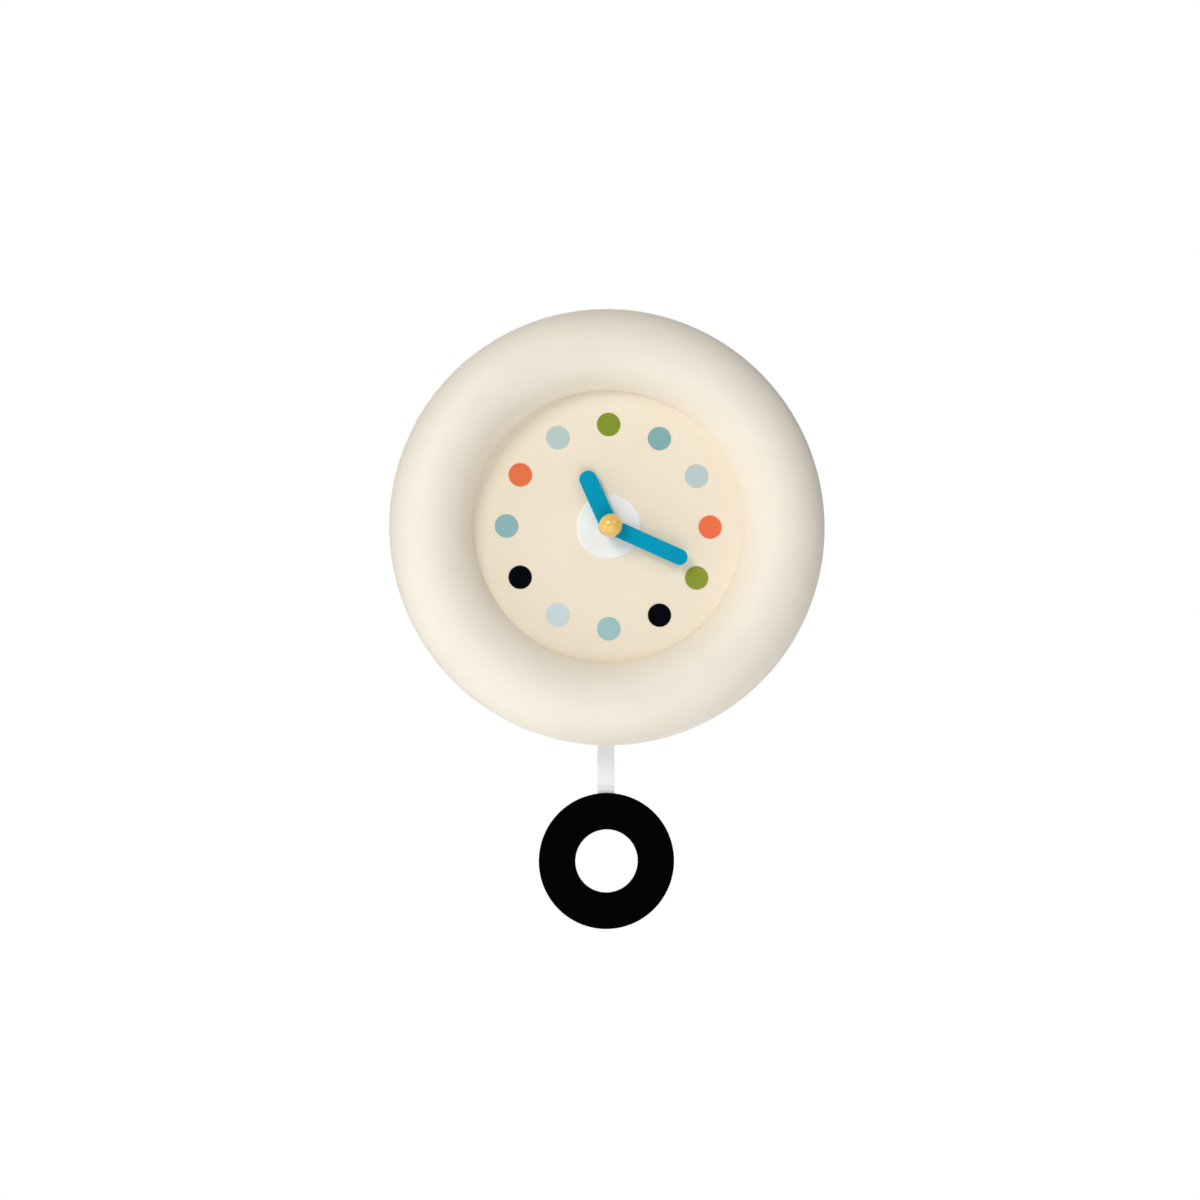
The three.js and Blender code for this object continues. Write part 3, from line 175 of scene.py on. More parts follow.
def turning_tree():
    """Turns a mesh's outline, held as (distance from the axis, depth), all the way round."""
    tree = bpy.data.node_groups.new("turned_part", "GeometryNodeTree")
    for label, kind in (
        ("Outline", "NodeSocketGeometry"),
        ("Sides", "NodeSocketInt"),
        ("Turn", "NodeSocketVector"),
        ("Place", "NodeSocketVector"),
        ("Finish", "NodeSocketMaterial"),
    ):
        tree.interface.new_socket(label, in_out="INPUT", socket_type=kind)
    tree.interface.new_socket("Part", in_out="OUTPUT", socket_type="NodeSocketGeometry")

    def taken(label):
        return Wire.node(tree, "NodeGroupInput", out=label)

    count = Wire.node(tree, "GeometryNodeAttributeDomainSize", (), {"Geometry": taken("Outline")})
    grid = Wire.node(tree, "GeometryNodeMeshGrid", (), {
        "Size X": taken("Sides"),
        "Size Y": count - 1,
        "Vertices X": taken("Sides") + 1,
        "Vertices Y": count,
    })
    across, along, _ = Wire.node(tree, "GeometryNodeInputPosition").parts()
    step = across + taken("Sides") * 0.5
    row = along + (count - 1) * 0.5
    row = row.maths("ROUND", row)
    point = Wire.node(tree, "GeometryNodeSampleIndex", {"data_type": "FLOAT_VECTOR"}, {
        "Geometry": taken("Outline"),
        "Value": Wire.node(tree, "GeometryNodeInputPosition"),
        "Index": row,
    })
    radius, depth, _ = point.parts()
    angle = step * math.tau / taken("Sides")
    place = Wire.node(tree, "ShaderNodeCombineXYZ", (), {
        "X": radius * angle.maths("COSINE", angle),
        "Y": depth,
        "Z": radius * angle.maths("SINE", angle),
    })
    shell = Wire.node(tree, "GeometryNodeSetPosition", (), {"Geometry": grid, "Position": place})
    closed = Wire.node(tree, "GeometryNodeMergeByDistance", (), {
        "Geometry": shell,
        "Distance": 0.002 * MM,
    })
    moved = Wire.node(tree, "GeometryNodeTransform", (), {
        "Geometry": closed,
        "Rotation": taken("Turn"),
        "Translation": taken("Place"),
    })
    real = Wire.node(tree, "GeometryNodeRealizeInstances", (), {"Geometry": moved})
    dressed = Wire.node(tree, "GeometryNodeSetMaterial", (), {
        "Geometry": real,
        "Material": taken("Finish"),
    })
    Wire.node(tree, "NodeGroupOutput", (), {"Part": dressed})
    return tree


TURNING = turning_tree()


def new_piece(name, mesh):
    piece = bpy.data.objects.new(name, mesh)
    bpy.context.scene.collection.objects.link(piece)
    return piece


def settled(piece):
    """Makes a plain mesh of a piece and its modifiers, closed, facing outward and smooth."""
    view = bpy.context.evaluated_depsgraph_get()
    old = piece.data
    piece.data = bpy.data.meshes.new_from_object(piece.evaluated_get(view))
    piece.modifiers.clear()
    bpy.data.meshes.remove(old)
    work = bmesh.new()
    work.from_mesh(piece.data)
    bmesh.ops.remove_doubles(work, verts=work.verts, dist=0.0005 * MM)
    bmesh.ops.recalc_face_normals(work, faces=work.faces)
    work.to_mesh(piece.data)
    work.free()
    piece.data.shade_smooth()
    piece.data.set_sharp_from_angle(angle=CREASE)
    return piece


def grown(piece, group, wanted):
    """Shapes a piece with a node group, whose inputs are given by name."""
    modifier = piece.modifiers.new(group.name, "NODES")
    modifier.node_group = group
    for item in group.interface.items_tree:
        if item.name in wanted:
            modifier[item.identifier] = wanted[item.name]
    return settled(piece)


def turned(name, outline, finish, sides=96, place=(0, 0, case_z), turn=(0, 0, 0), closed=True):
    """A turned part from its outline of (distance from the axis, depth), in millimetres."""
    points = list(outline) + [outline[0]] * closed
    mesh = bpy.data.meshes.new(name)
    mesh.from_pydata([(a * MM, b * MM, 0) for a, b in points], [], [])
    return grown(new_piece(name, mesh), TURNING, {
        "Sides": sides,
        "Turn": turn,
        "Place": [value * MM for value in place],
        "Finish": finish,
    })


def combined(piece, operation, *tools):
    """Joins, cuts or trims a piece with other shapes, which are used up."""
    for tool in tools:
        modifier = piece.modifiers.new("shaping", "BOOLEAN")
        modifier.operation = operation
        modifier.solver = "MANIFOLD"
        modifier.object = tool
    settled(piece)
    for tool in tools:
        bpy.data.objects.remove(tool)
    return piece


def block(left, right, front, back, bottom, top):
    """A plain box for cutting other pieces, in millimetres."""
    work = bmesh.new()
    bmesh.ops.create_cube(work, size=1)
    for corner in work.verts:
        corner.co.x = (right if corner.co.x > 0 else left) * MM
        corner.co.y = (back if corner.co.y > 0 else front) * MM
        corner.co.z = (top if corner.co.z > 0 else bottom) * MM
    mesh = bpy.data.meshes.new("cutting_block")
    work.to_mesh(mesh)
    work.free()
    return new_piece("cutting_block", mesh)


def post(across, up, radius, front, back, sides=32):
    """A round bar from front to back, for adding to or cutting from other pieces."""
    outline = [(0, front), (radius, front), (radius, back), (0, back)]
    return turned("post", outline, None, sides, (across, 0, up), closed=False)


def round_the_case(radius, degrees):
    """The point at that distance and direction from the middle of the dial."""
    angle = math.radians(degrees)
    return radius * math.cos(angle), case_z + radius * math.sin(angle)


def linear(red, green, blue):
    """A chart colour, each part from 0 to 255, in the form that a material takes."""
    parts = [value / 255 for value in (red, green, blue)]
    return (*(v / 12.92 if v < 0.04045 else ((v + 0.055) / 1.055) ** 2.4 for v in parts), 1)


def mottle(tree, size, detail=2, stretch=(1, 1, 1)):
    """Soft random variation from 0 to 1, with blotches of about that size in millimetres."""
    at = Wire.node(tree, "ShaderNodeTexCoord", out="Object")
    at = Wire.node(tree, "ShaderNodeMapping", (), {"Vector": at, "Scale": stretch})
    return Wire.node(tree, "ShaderNodeTexNoise", (), {
        "Vector": at,
        "Scale": 1 / (size * MM),
        "Detail": detail,
    })


def mixed(factor, first, second):
    """One colour going over into another as the factor goes from 0 to 1."""
    tree = factor.tree
    return Wire.node(tree, "ShaderNodeMix", {"data_type": "RGBA"}, {
        0: factor,
        6: first,
        7: second,
    }, out=2)


def bumped(height, depth):
    return Wire.node(height.tree, "ShaderNodeBump", (), {
        "Height": height,
        "Distance": depth * MM,
        "Strength": 1.0,
    })


def new_finish(name):
    material = bpy.data.materials.new(name)
    material.use_nodes = True
    material.node_tree.nodes.clear()
    return material, material.node_tree


def coated(tree, **sockets):
    """Ends a material with its surface shader."""
    named = {name.replace("_", " "): value for name, value in sockets.items()}
    surface = Wire.node(tree, "ShaderNodeBsdfPrincipled", (), named)
    Wire.node(tree, "ShaderNodeOutputMaterial", (), {"Surface": surface})


def moulded(name, colour, deep, roughness=0.5, grain=0.7, depth=0.03, cloud=38, **constant):
    """Injection-moulded plastic: fine spark texture, and faint flow clouds in its colour."""
    material, tree = new_finish(name)
    clouds = mottle(tree, cloud, detail=3)
    spark = mottle(tree, grain, detail=3)
    pits = mottle(tree, grain * 3.1, detail=1)
    tone = clouds * 0.7 + spark * 0.3
    tone = tone.maths("MULTIPLY_ADD", tone, 1.6, -0.3)
    coated(
        tree,
        Base_Color=mixed(tone, deep, colour),
        Roughness=roughness + (spark - 0.5) * 0.16 + (clouds - 0.5) * 0.08,
        Normal=bumped(spark * 0.8 + pits * 0.2, depth),
        **constant,
    )
    return material


shell_left, shell_right, shell_front, _, _, _ = edges_of("front_shell")
ring_radius = (shell_right - shell_left) / 2 - TUBE_RADIUS
inner_tube_radius = TUBE_RADIUS - SHELL_WALL
equator = shell_front + TUBE_RADIUS
rim_radius = ring_radius + TUBE_RADIUS * math.cos(REAR_ARC)
cover_seat_radius = rim_radius - SHELL_WALL
_, _, dial_front, dial_back, _, _ = edges_of("dial")
lip = dial_front - SEAT_GAP
opening_radius = ring_radius - math.sqrt(TUBE_RADIUS**2 - (equator - lip) ** 2)
lip_back_radius = ring_radius - math.sqrt(inner_tube_radius**2 - (equator - lip) ** 2)

mould_cream = moulded(
    "cream_moulding", linear(244, 236, 222), linear(237, 228, 212), 0.52, IOR=1.5
)


def outer_section(steps, depth=0.0):
    """The outer line of the ring's section, or a line that far inside it."""
    start = math.atan2(lip - equator, opening_radius - ring_radius) + math.tau
    return arc(ring_radius, equator, TUBE_RADIUS - depth, start, math.tau + REAR_ARC, steps)


def inner_section(steps):
    start = math.atan2(lip - equator, lip_back_radius - ring_radius) + math.tau
    end = math.tau + math.acos((cover_seat_radius - ring_radius) / inner_tube_radius)
    return arc(ring_radius, equator, inner_tube_radius, start, end, steps)


section = softened([
    (opening_radius, lip, LIP_ROUNDING),
    *outer_section(OUTER_STEPS)[1:],
    (rim_radius, 0, RIM_ROUNDING),
    (cover_seat_radius, 0, SEAT_ROUNDING),
    *reversed(inner_section(INNER_STEPS)[1:]),
    (lip_back_radius, lip),
])
front_shell = turned("front_shell_fine", section, mould_cream, sides=RING_SIDES)
across, up = middle_of("rear_cover_screw_1")
cover_circle = math.hypot(across, up - case_z)
across, up = middle_of("dial_screw_1")
dial_circle = math.hypot(across, up - case_z)
_, _, cover_front, cover_back, _, _ = edges_of("rear_cover")
_, _, cover_screw_tip, cover_screw_back, _, _ = edges_of("rear_cover_screw_1")
_, _, dial_screw_tip, dial_screw_back, _, _ = edges_of("dial_screw_1")
posts = []
pilots = []
for angle in SCREW_ANGLES:
    envelope = turned(
        "envelope",
        [
            *outer_section(OUTER_STEPS, SHELL_WALL / 2),
            (rim_radius - 2, 0),
            (opening_radius + 1.3, 0),
        ],
        None,
        sides=RING_SIDES,
    )
    at_cover = round_the_case(cover_circle, angle)
    at_dial = round_the_case(dial_circle, angle)
    cover_post = post(*at_cover, COVER_POST_RADIUS, shell_front, cover_front - FIT_GAP)
    dial_post = post(*at_dial, DIAL_POST_RADIUS, shell_front, lip)
    pilots += [
        post(*at_cover, COVER_SCREW_HOLE, cover_screw_tip - PAST_FACE, PAST_FACE),
        post(*at_dial, DIAL_SCREW_HOLE, dial_screw_tip - PAST_FACE, PAST_FACE),
    ]
    combined(cover_post, "UNION", dial_post)
    posts.append(combined(cover_post, "INTERSECT", envelope))
combined(front_shell, "UNION", *posts)
rod_left, rod_right, rod_front, rod_back, rod_bottom, rod_top = edges_of("pendulum_rod")
notch = block(
    -SWING_ROOM,
    SWING_ROOM,
    rod_front - ROOM_BEFORE_ROD,
    PAST_FACE,
    case_z - NOTCH_DROP,
    case_z - cover_seat_radius + NOTCH_INSIDE,
)
combined(front_shell, "DIFFERENCE", notch, *pilots)


def stand_in(piece, body, *nodes):
    """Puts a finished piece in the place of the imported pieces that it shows."""
    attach(piece, body)
    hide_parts(*nodes)


stand_in(front_shell, "case", "front_shell")


# Rear cover. A flat cream moulding that closes the back of the ring, held by four screws. It is
# open round the movement and down to the rim for the pendulum, and has a keyhole for the wall
# screw.

COVER_EDGE = 0.4
WINDOW_CORNER = 1
WINDOW_GAP = 1.5
KEYHOLE_ENTRY_RADIUS = 5.2
KEYHOLE_SLOT = 4.6
KEYHOLE_DROP = 9
COVER_SIDES = 200
EJECTOR_CIRCLE = 92  # round witness marks of the mould's pins
EJECTOR_RADIUS = 3
EJECTOR_DEPTH = 0.12
SINK_RADIUS = 3.5  # round pockets for the screw heads
SINK_DEPTH = 1.5


def moved_in(loop, amount):
    """A loop of (across, up) points moved towards the material, which lies on its left."""
    points = [Vector(point) for point in loop]
    moved = []
    for i, here in enumerate(points):
        before = (here - points[i - 1]).normalized()
        after = (points[(i + 1) % len(points)] - here).normalized()
        side = Vector((-before.y - after.y, before.x + after.x)).normalized()
        lean = max(0.3, side.dot(Vector((-after.y, after.x))))
        moved.append(here + side * (amount / lean))
    return moved


def signed_area(loop):
    return sum(a[0] * b[1] - b[0] * a[1] for a, b in zip(loop, [*loop[1:], loop[0]])) / 2


def plate(name, outline, front, back, finish, holes=(), edge=0.0, steps=3):
    """A flat plate of any outline, with holes, its edges rounded at the front and the back."""
    loops = [outline if signed_area(outline) > 0 else outline[::-1]]
    loops += [hole if signed_area(hole) < 0 else hole[::-1] for hole in holes]
    rim = [(0.0, 0.0)]
    if edge > 0:
        turn_relief_and_shade = [math.pi / 2 * i / steps for i in range(steps + 1)]
        rim = [(edge * (1 - math.sin(a)), edge * (1 - math.cos(a))) for a in turn_relief_and_shade]
        rim.insert(0, (edge + FLAT_EDGE, 0.0))
    layers = [(inset, front + depth) for inset, depth in rim]
    layers += [(inset, back - depth) for inset, depth in reversed(rim)]
    work = bmesh.new()
    rings = []
    for inset, depth in layers:
        ring = []
        for loop in loops:
            points = moved_in(loop, inset) if inset else loop
            ring.append([work.verts.new((x * MM, depth * MM, z * MM)) for x, z in points])
        rings.append(ring)
    for near, far in zip(rings, rings[1:]):
        for a, b in zip(near, far):
            for i in range(len(a)):
                work.faces.new((a[i - 1], a[i], b[i], b[i - 1]))
    for ring in (rings[0], rings[-1]):
        corners = [corner for loop in ring for corner in loop]
        flat = [[Vector((corner.co.x, corner.co.z, 0)) / MM for corner in loop] for loop in ring]
        for triangle in tessellate_polygon(flat):
            work.faces.new([corners[i] for i in triangle])
    mesh = bpy.data.meshes.new(name)
    work.to_mesh(mesh)
    work.free()
    if finish:
        mesh.materials.append(finish)
    return settled(new_piece(name, mesh))


def ring_points(across, up, radius, sides=48, start=0.0):
    turn_relief_and_shade = [start + math.tau * i / sides for i in range(sides)]
    return [(across + radius * math.cos(a), up + radius * math.sin(a)) for a in turn_relief_and_shade]


cover_radius = edges_of("rear_cover")[1]
move_left, move_right, _, move_back, move_bottom, move_top = edges_of("movement_rear_housing")
window_right = move_right + WINDOW_GAP
window_bottom = move_bottom - WINDOW_GAP
window_top = move_top + WINDOW_GAP
slot_turn = math.asin(SWING_ROOM / cover_radius)
cover_outline = softened([
    *arc(0, case_z, cover_radius, -math.pi / 2 + slot_turn, 1.5 * math.pi - slot_turn, COVER_SIDES),
    (-SWING_ROOM, window_bottom, WINDOW_CORNER),
    (-window_right, window_bottom, WINDOW_CORNER),
    (-window_right, window_top, WINDOW_CORNER),
    (window_right, window_top, WINDOW_CORNER),
    (window_right, window_bottom, WINDOW_CORNER),
    (SWING_ROOM, window_bottom, WINDOW_CORNER),
])
slot_half = KEYHOLE_SLOT / 2
meeting = math.asin(slot_half / KEYHOLE_ENTRY_RADIUS)
keyhole = [
    *arc(0, -slot_half, slot_half, 0, math.pi, 12),
    *arc(
        0,
        -KEYHOLE_DROP,
        KEYHOLE_ENTRY_RADIUS,
        math.pi / 2 + meeting,
        2.5 * math.pi - meeting,
        40,
    ),
]
screw_holes = [
    ring_points(*round_the_case(cover_circle, angle), COVER_SCREW_HOLE, 24)
    for angle in SCREW_ANGLES
]
cover_finish = moulded(
    "cream_cover_moulding", linear(240, 233, 219), linear(231, 223, 207), 0.6, grain=0.9, IOR=1.5
)
rear_cover = plate(
    "rear_cover_fine",
    cover_outline,
    cover_front,
    cover_back,
    cover_finish,
    [keyhole, *screw_holes],
    COVER_EDGE,
)
sinks = [
    post(
        *round_the_case(cover_circle, angle), SINK_RADIUS, cover_back - SINK_DEPTH, PAST_FACE, 48
    )
    for angle in SCREW_ANGLES
]
for angle in range(0, 360, 45):
    mark = round_the_case(EJECTOR_CIRCLE, angle + 22.5)
    sinks.append(post(*mark, EJECTOR_RADIUS, cover_back - EJECTOR_DEPTH, PAST_FACE, 48))
combined(rear_cover, "DIFFERENCE", *sinks)
stand_in(rear_cover, "case", "rear_cover")


# Dial. A stiff disc behind the ring, painted a warm matt cream that is a little yellower than the
# case, with a hole for the movement's bush and four screw holes behind the ring.

BUSH_HOLE_RADIUS = 4.3
DIAL_EDGE = 0.15
dial_radius = edges_of("dial")[1]
dial_paint = moulded(
    "dial_paint",
    linear(246, 234, 214),
    linear(240, 227, 204),
    0.72,
    grain=0.35,
    depth=0.012,
    cloud=60,
    Specular_IOR_Level=0.35,
)
dial = plate(
    "dial_fine",
    ring_points(0, case_z, dial_radius, 160),
    dial_front,
    dial_back,
    dial_paint,
    [
        ring_points(0, case_z, BUSH_HOLE_RADIUS, 48),
        *(
            ring_points(*round_the_case(dial_circle, angle), DIAL_SCREW_HOLE, 24)
            for angle in SCREW_ANGLES
        ),
    ],
    DIAL_EDGE,
)
stand_in(dial, "case", "dial")


# Hour spots. Twelve thin discs of coloured film on the dial, one for each hour, with a screen
# printed face and softly rounded edges.

SPOT_EDGE = 0.16
SPOT_COLOURS = {
    1: (129, 171, 173),
    2: (182, 200, 200),
    3: (233, 113, 73),
    4: (136, 149, 54),
    5: (4, 7, 12),
    6: (155, 192, 195),
    7: (199, 214, 217),
    8: (5, 8, 11),
    9: (140, 181, 185),
    10: (228, 115, 73),
    11: (180, 199, 196),
    12: (127, 146, 49),
}


def printed(name, colour):
    """Screen-printed ink: even colour with faint mesh marks and pinholes."""
    material, tree = new_finish(name)
    face = linear(*colour)
    thin = linear(*(value * 1.05 + 2 for value in colour))
    cloud = mottle(tree, 7, detail=2)
    mesh_marks = mottle(tree, 0.45, detail=1)
    pinholes = mottle(tree, 0.9, detail=0).above(0.76)
    coated(
        tree,
        Base_Color=mixed(cloud * 0.6 + mesh_marks * 0.3 + pinholes * 0.1, face, thin),
        Roughness=0.58 + mesh_marks * 0.12 + pinholes * 0.1,
        Normal=bumped(mesh_marks - pinholes * 0.5, 0.008),
        Specular_IOR_Level=0.015,
    )
    return material


for hour, colour in SPOT_COLOURS.items():
    node = f"hour_marker_{hour:02d}"
    left, right, front, back, _, _ = edges_of(node)
    spot_radius = (right - left) / 2
    across, up = middle_of(node)
    spot = turned(
        f"hour_spot_{hour:02d}",
        softened([(0, front), (spot_radius, front, SPOT_EDGE), (spot_radius, back), (0, back)]),
        printed(f"spot_ink_{hour:02d}", colour),
        sides=64,
        place=(across, 0, up),
        closed=False,
    )
    stand_in(spot, "case", node)


# Centre disc. A thin white disc in the middle of the dial, round the bush, turned smooth with a
# small rounded edge.

_, disc_radius, disc_front, disc_back, _, _ = edges_of("centre_disc")
disc_finish = moulded(
    "white_centre_film", linear(247, 250, 249), linear(243, 246, 245), 0.5, grain=0.5, depth=0.01
)
centre_disc = turned(
    "centre_disc_fine",
    softened([
        (BUSH_HOLE_RADIUS, disc_front, 0.12),
        (disc_radius, disc_front, 0.25),
        (disc_radius, disc_back),
        (BUSH_HOLE_RADIUS, disc_back),
    ]),
    disc_finish,
    sides=120,
)
stand_in(centre_disc, "case", "centre_disc")


# Screws. Self-tapping screws of zinc-plated steel with a rounded head, a cross recess and a
# ridged shank: four hold the dial to its bosses and four hold the rear cover.

RECESS_HALF = 0.42
SCREW_PITCH = 0.9
SCREW_ROOT = 0.75  # part of the shank's radius that is left between the ridges
POINT_LENGTH = 1.6


def ring_of_parts_tree():
    """Sets copies of a part round the middle of the case at equal angles."""
    tree = bpy.data.node_groups.new("ring_of_parts", "GeometryNodeTree")
    for label, kind in (
        ("Part", "NodeSocketGeometry"),
        ("Count", "NodeSocketInt"),
        ("Circle Radius", "NodeSocketFloat"),
        ("First Angle", "NodeSocketFloat"),
        ("Middle", "NodeSocketVector"),
        ("Finish", "NodeSocketMaterial"),
    ):
        tree.interface.new_socket(label, in_out="INPUT", socket_type=kind)
    tree.interface.new_socket("Parts", in_out="OUTPUT", socket_type="NodeSocketGeometry")

    def taken(label):
        return Wire.node(tree, "NodeGroupInput", out=label)

    number = Wire.node(tree, "GeometryNodeInputIndex")
    angle = taken("First Angle") + number * math.tau / taken("Count")
    spot_place = Wire.node(tree, "ShaderNodeCombineXYZ", (), {
        "X": taken("Circle Radius") * angle.maths("COSINE", angle),
        "Z": taken("Circle Radius") * angle.maths("SINE", angle),
    })
    place = Wire.node(tree, "ShaderNodeVectorMath", {"operation": "ADD"}, {
        0: spot_place,
        1: taken("Middle"),
    })
    points = Wire.node(tree, "GeometryNodePoints", (), {"Count": taken("Count"), "Position": place})
    turn = Wire.node(tree, "ShaderNodeCombineXYZ", (), {"Y": number * 0.7})
    copies = Wire.node(tree, "GeometryNodeInstanceOnPoints", (), {
        "Points": points,
        "Instance": taken("Part"),
        "Rotation": turn,
    })
    real = Wire.node(tree, "GeometryNodeRealizeInstances", (), {"Geometry": copies})
    dressed = Wire.node(tree, "GeometryNodeSetMaterial", (), {
        "Geometry": real,
        "Material": taken("Finish"),
    })
    Wire.node(tree, "NodeGroupOutput", (), {"Parts": dressed})
    return tree


RING_OF_PARTS = ring_of_parts_tree()


def metal(name, colour, deep, roughness=0.32, grain=0.3, stretch=(1, 1, 1), depth=0.004):
    """Bright metal or plating: fine marks in its shine and a faint change of tone."""
    material, tree = new_finish(name)
    marks = mottle(tree, grain, detail=3, stretch=stretch)
    stain = mottle(tree, 4, detail=3)
    coated(
        tree,
        Base_Color=mixed(stain * 0.7 + marks * 0.3, deep, colour),
        Roughness=roughness + (marks - 0.5) * 0.22 + (stain - 0.5) * 0.12,
        Normal=bumped(marks, depth),
        Metallic=1.0,
    )
    return material


zinc_plate = metal("zinc_plated_steel", linear(214, 216, 219), linear(186, 189, 194), 0.34)


def screws(name, nodes, circle, head, head_height, shank, tip, head_back):
    """A ring of four equal screws, as one piece."""
    head_front = head_back - head_height
    outline = [(0, tip), (0.3, tip + 0.15), (shank * SCREW_ROOT, tip + POINT_LENGTH)]
    along = tip + 2
    while along < head_front - 0.7:
        outline += [(shank, along), (shank * SCREW_ROOT, along + SCREW_PITCH / 2)]
        along += SCREW_PITCH
    outline += [(shank, head_front - 0.2), (shank, head_front)]
    outline += softened([
        (shank, head_front),
        (head, head_front, 0.15),
        (head, head_back, head_height * 0.42),
        (0, head_back),
    ])[1:]
    body = turned(name, outline, zinc_plate, 40, (0, 0, 0), closed=False)
    reach = head * 0.6
    recess_front = head_back - head_height * 0.6
    bars = [
        block(-reach, reach, recess_front, PAST_FACE, -RECESS_HALF, RECESS_HALF),
        block(-RECESS_HALF, RECESS_HALF, recess_front, PAST_FACE, -reach, reach),
    ]
    combined(body, "DIFFERENCE", *bars)
    grown(body, RING_OF_PARTS, {
        "Count": len(SCREW_ANGLES),
        "Circle Radius": circle * MM,
        "First Angle": math.radians(SCREW_ANGLES[0]),
        "Middle": (0, 0, case_z * MM),
        "Finish": zinc_plate,
    })
    stand_in(body, "case", *nodes)


screws(
    "dial_screws",
    [f"dial_screw_{i}" for i in (1, 2, 3, 4)],
    dial_circle,
    head=2.8,
    head_height=1.5,
    shank=1.3,
    tip=dial_screw_tip,
    head_back=dial_screw_back,
)
screws(
    "rear_cover_screws",
    [f"rear_cover_screw_{i}" for i in (1, 2, 3, 4)],
    cover_circle,
    head=3.2,
    head_height=1.4,
    shank=1.4,
    tip=cover_screw_tip,
    head_back=cover_screw_back,
)


# Movement fixing. A brass bush with a fine thread comes through the dial, and a thin washer and a
# brass hexagon nut clamp the movement to the back of the dial.

BUSH_BORE = 2.8
BUSH_PITCH = 0.5
THREAD_DEPTH = 0.3
brass = metal("bright_brass", linear(214, 178, 98), linear(190, 150, 74), 0.3, depth=0.003)
_, washer_radius, washer_front, washer_back, _, _ = edges_of("fixing_washer")
washer = turned(
    "fixing_washer_fine",
    softened([
        (BUSH_HOLE_RADIUS, washer_front, 0.1),
        (washer_radius, washer_front, 0.15),
        (washer_radius, washer_back, 0.1),
        (BUSH_HOLE_RADIUS, washer_back, 0.1),
    ]),
    brass,
)
stand_in(washer, "case", "fixing_washer")

_, nut_corner, nut_front, nut_back, _, _ = edges_of("fixing_nut")
nut = plate(
    "fixing_nut_fine",
    ring_points(0, case_z, nut_corner, 6),
    nut_front,
    nut_back,
    brass,
    [ring_points(0, case_z, BUSH_HOLE_RADIUS, 48)],
    0.2,
)
stand_in(nut, "case", "fixing_nut")

_, bush_radius, bush_front, bush_back, _, _ = edges_of("threaded_bush")
thread = []
along = bush_back - 0.3
while along > bush_front + 0.6:
    thread += [(bush_radius, along), (bush_radius - THREAD_DEPTH, along - BUSH_PITCH / 2)]
    along -= BUSH_PITCH
bush = turned(
    "threaded_bush_fine",
    [
        (BUSH_BORE, bush_front),
        (BUSH_BORE, bush_back),
        (bush_radius, bush_back),
        *thread,
        (bush_radius - THREAD_DEPTH, bush_front + 0.2),
        (bush_radius - 0.5, bush_front),
    ],
    brass,
    sides=64,
)
stand_in(bush, "case", "threaded_bush")


# Hands. Two round-ended bars stamped from sheet metal and sprayed a matt petrol blue, pushed on
# the hour pipe and the minute arbor. Their edges are just broken.

HAND_EDGE = 0.16
HAND_ROUND_STEPS = 24


def sprayed(name, colour, deep):
    """Matt sprayed paint with a fine orange-peel surface."""
    material, tree = new_finish(name)
    peel = mottle(tree, 0.8, detail=2)
    speck = mottle(tree, 0.22, detail=1)
    drift = mottle(tree, 16, detail=2)
    coated(
        tree,
        Base_Color=mixed(drift * 0.7 + speck * 0.3, deep, colour),
        Roughness=0.5 + (peel - 0.5) * 0.18 + (speck - 0.5) * 0.12,
        Normal=bumped(peel * 0.7 + speck * 0.3, 0.015),
        Specular_IOR_Level=0.06,
    )
    return material


hand_blue = sprayed("hand_blue_paint", linear(0, 158, 193), linear(0, 148, 182))


def clock_hand(name, node, body, width, reach, degrees, bore):
    """A hand that points that many degrees clockwise from twelve."""
    _, _, front, back, _, _ = edges_of(node)
    half = width / 2
    upright = [
        *arc(0, reach - half, half, 0, math.pi, HAND_ROUND_STEPS),
        *arc(0, 0, half, math.pi, math.tau, HAND_ROUND_STEPS),
    ]
    turn = math.radians(degrees)
    outline = [
        (
            x * math.cos(turn) + z * math.sin(turn),
            case_z + z * math.cos(turn) - x * math.sin(turn),
        )
        for x, z in upright
    ]
    hole = ring_points(0, case_z, bore, 32)
    hand = plate(name, outline, front, back, hand_blue, [hole], HAND_EDGE)
    stand_in(hand, body, node)


clock_hand(
    "hour_hand_fine",
    "hour_hand",
    "hour_hand_set",
    width=10.2,
    reach=34.2,
    degrees=335.55,
    bore=2.8,
)
clock_hand(
    "minute_hand_fine",
    "minute_hand",
    "minute_hand_set",
    width=9.1,
    reach=48.2,
    degrees=113.8,
    bore=1.8,
)


# Hub cap. A glossy amber-yellow ball of clear-coated plastic, flat at the back, with a peg pushed
# into the minute arbor.

CAP_RADIUS = 6.6
CAP_SEAT_DEPTH = 3.9
CAP_PEG_RADIUS = 0.5
_, _, cap_front, cap_back, _, _ = edges_of("hub_cap")
ball_middle = cap_front + CAP_RADIUS
cap_seat = ball_middle + CAP_SEAT_DEPTH
ball = arc(0, ball_middle, CAP_RADIUS, -math.pi / 2, math.asin(CAP_SEAT_DEPTH / CAP_RADIUS), 40)
cap_material, tree = new_finish("amber_gloss")
depth_cloud = mottle(tree, 6, detail=2)
orange_peel = mottle(tree, 1.2, detail=1)
coated(
    tree,
    Base_Color=mixed(depth_cloud, linear(238, 188, 84), linear(243, 201, 104)),
    Roughness=0.2 + (orange_peel - 0.5) * 0.1,
    Normal=bumped(orange_peel, 0.004),
    Coat_Weight=0.6,
    Coat_Roughness=0.06,
    IOR=1.49,
)
hub_cap = turned(
    "hub_cap_fine",
    [
        (0, cap_front),
        *ball[1:],
        (CAP_PEG_RADIUS, cap_seat),
        (CAP_PEG_RADIUS, cap_back),
        (0, cap_back),
    ],
    cap_material,
    sides=72,
    closed=False,
)
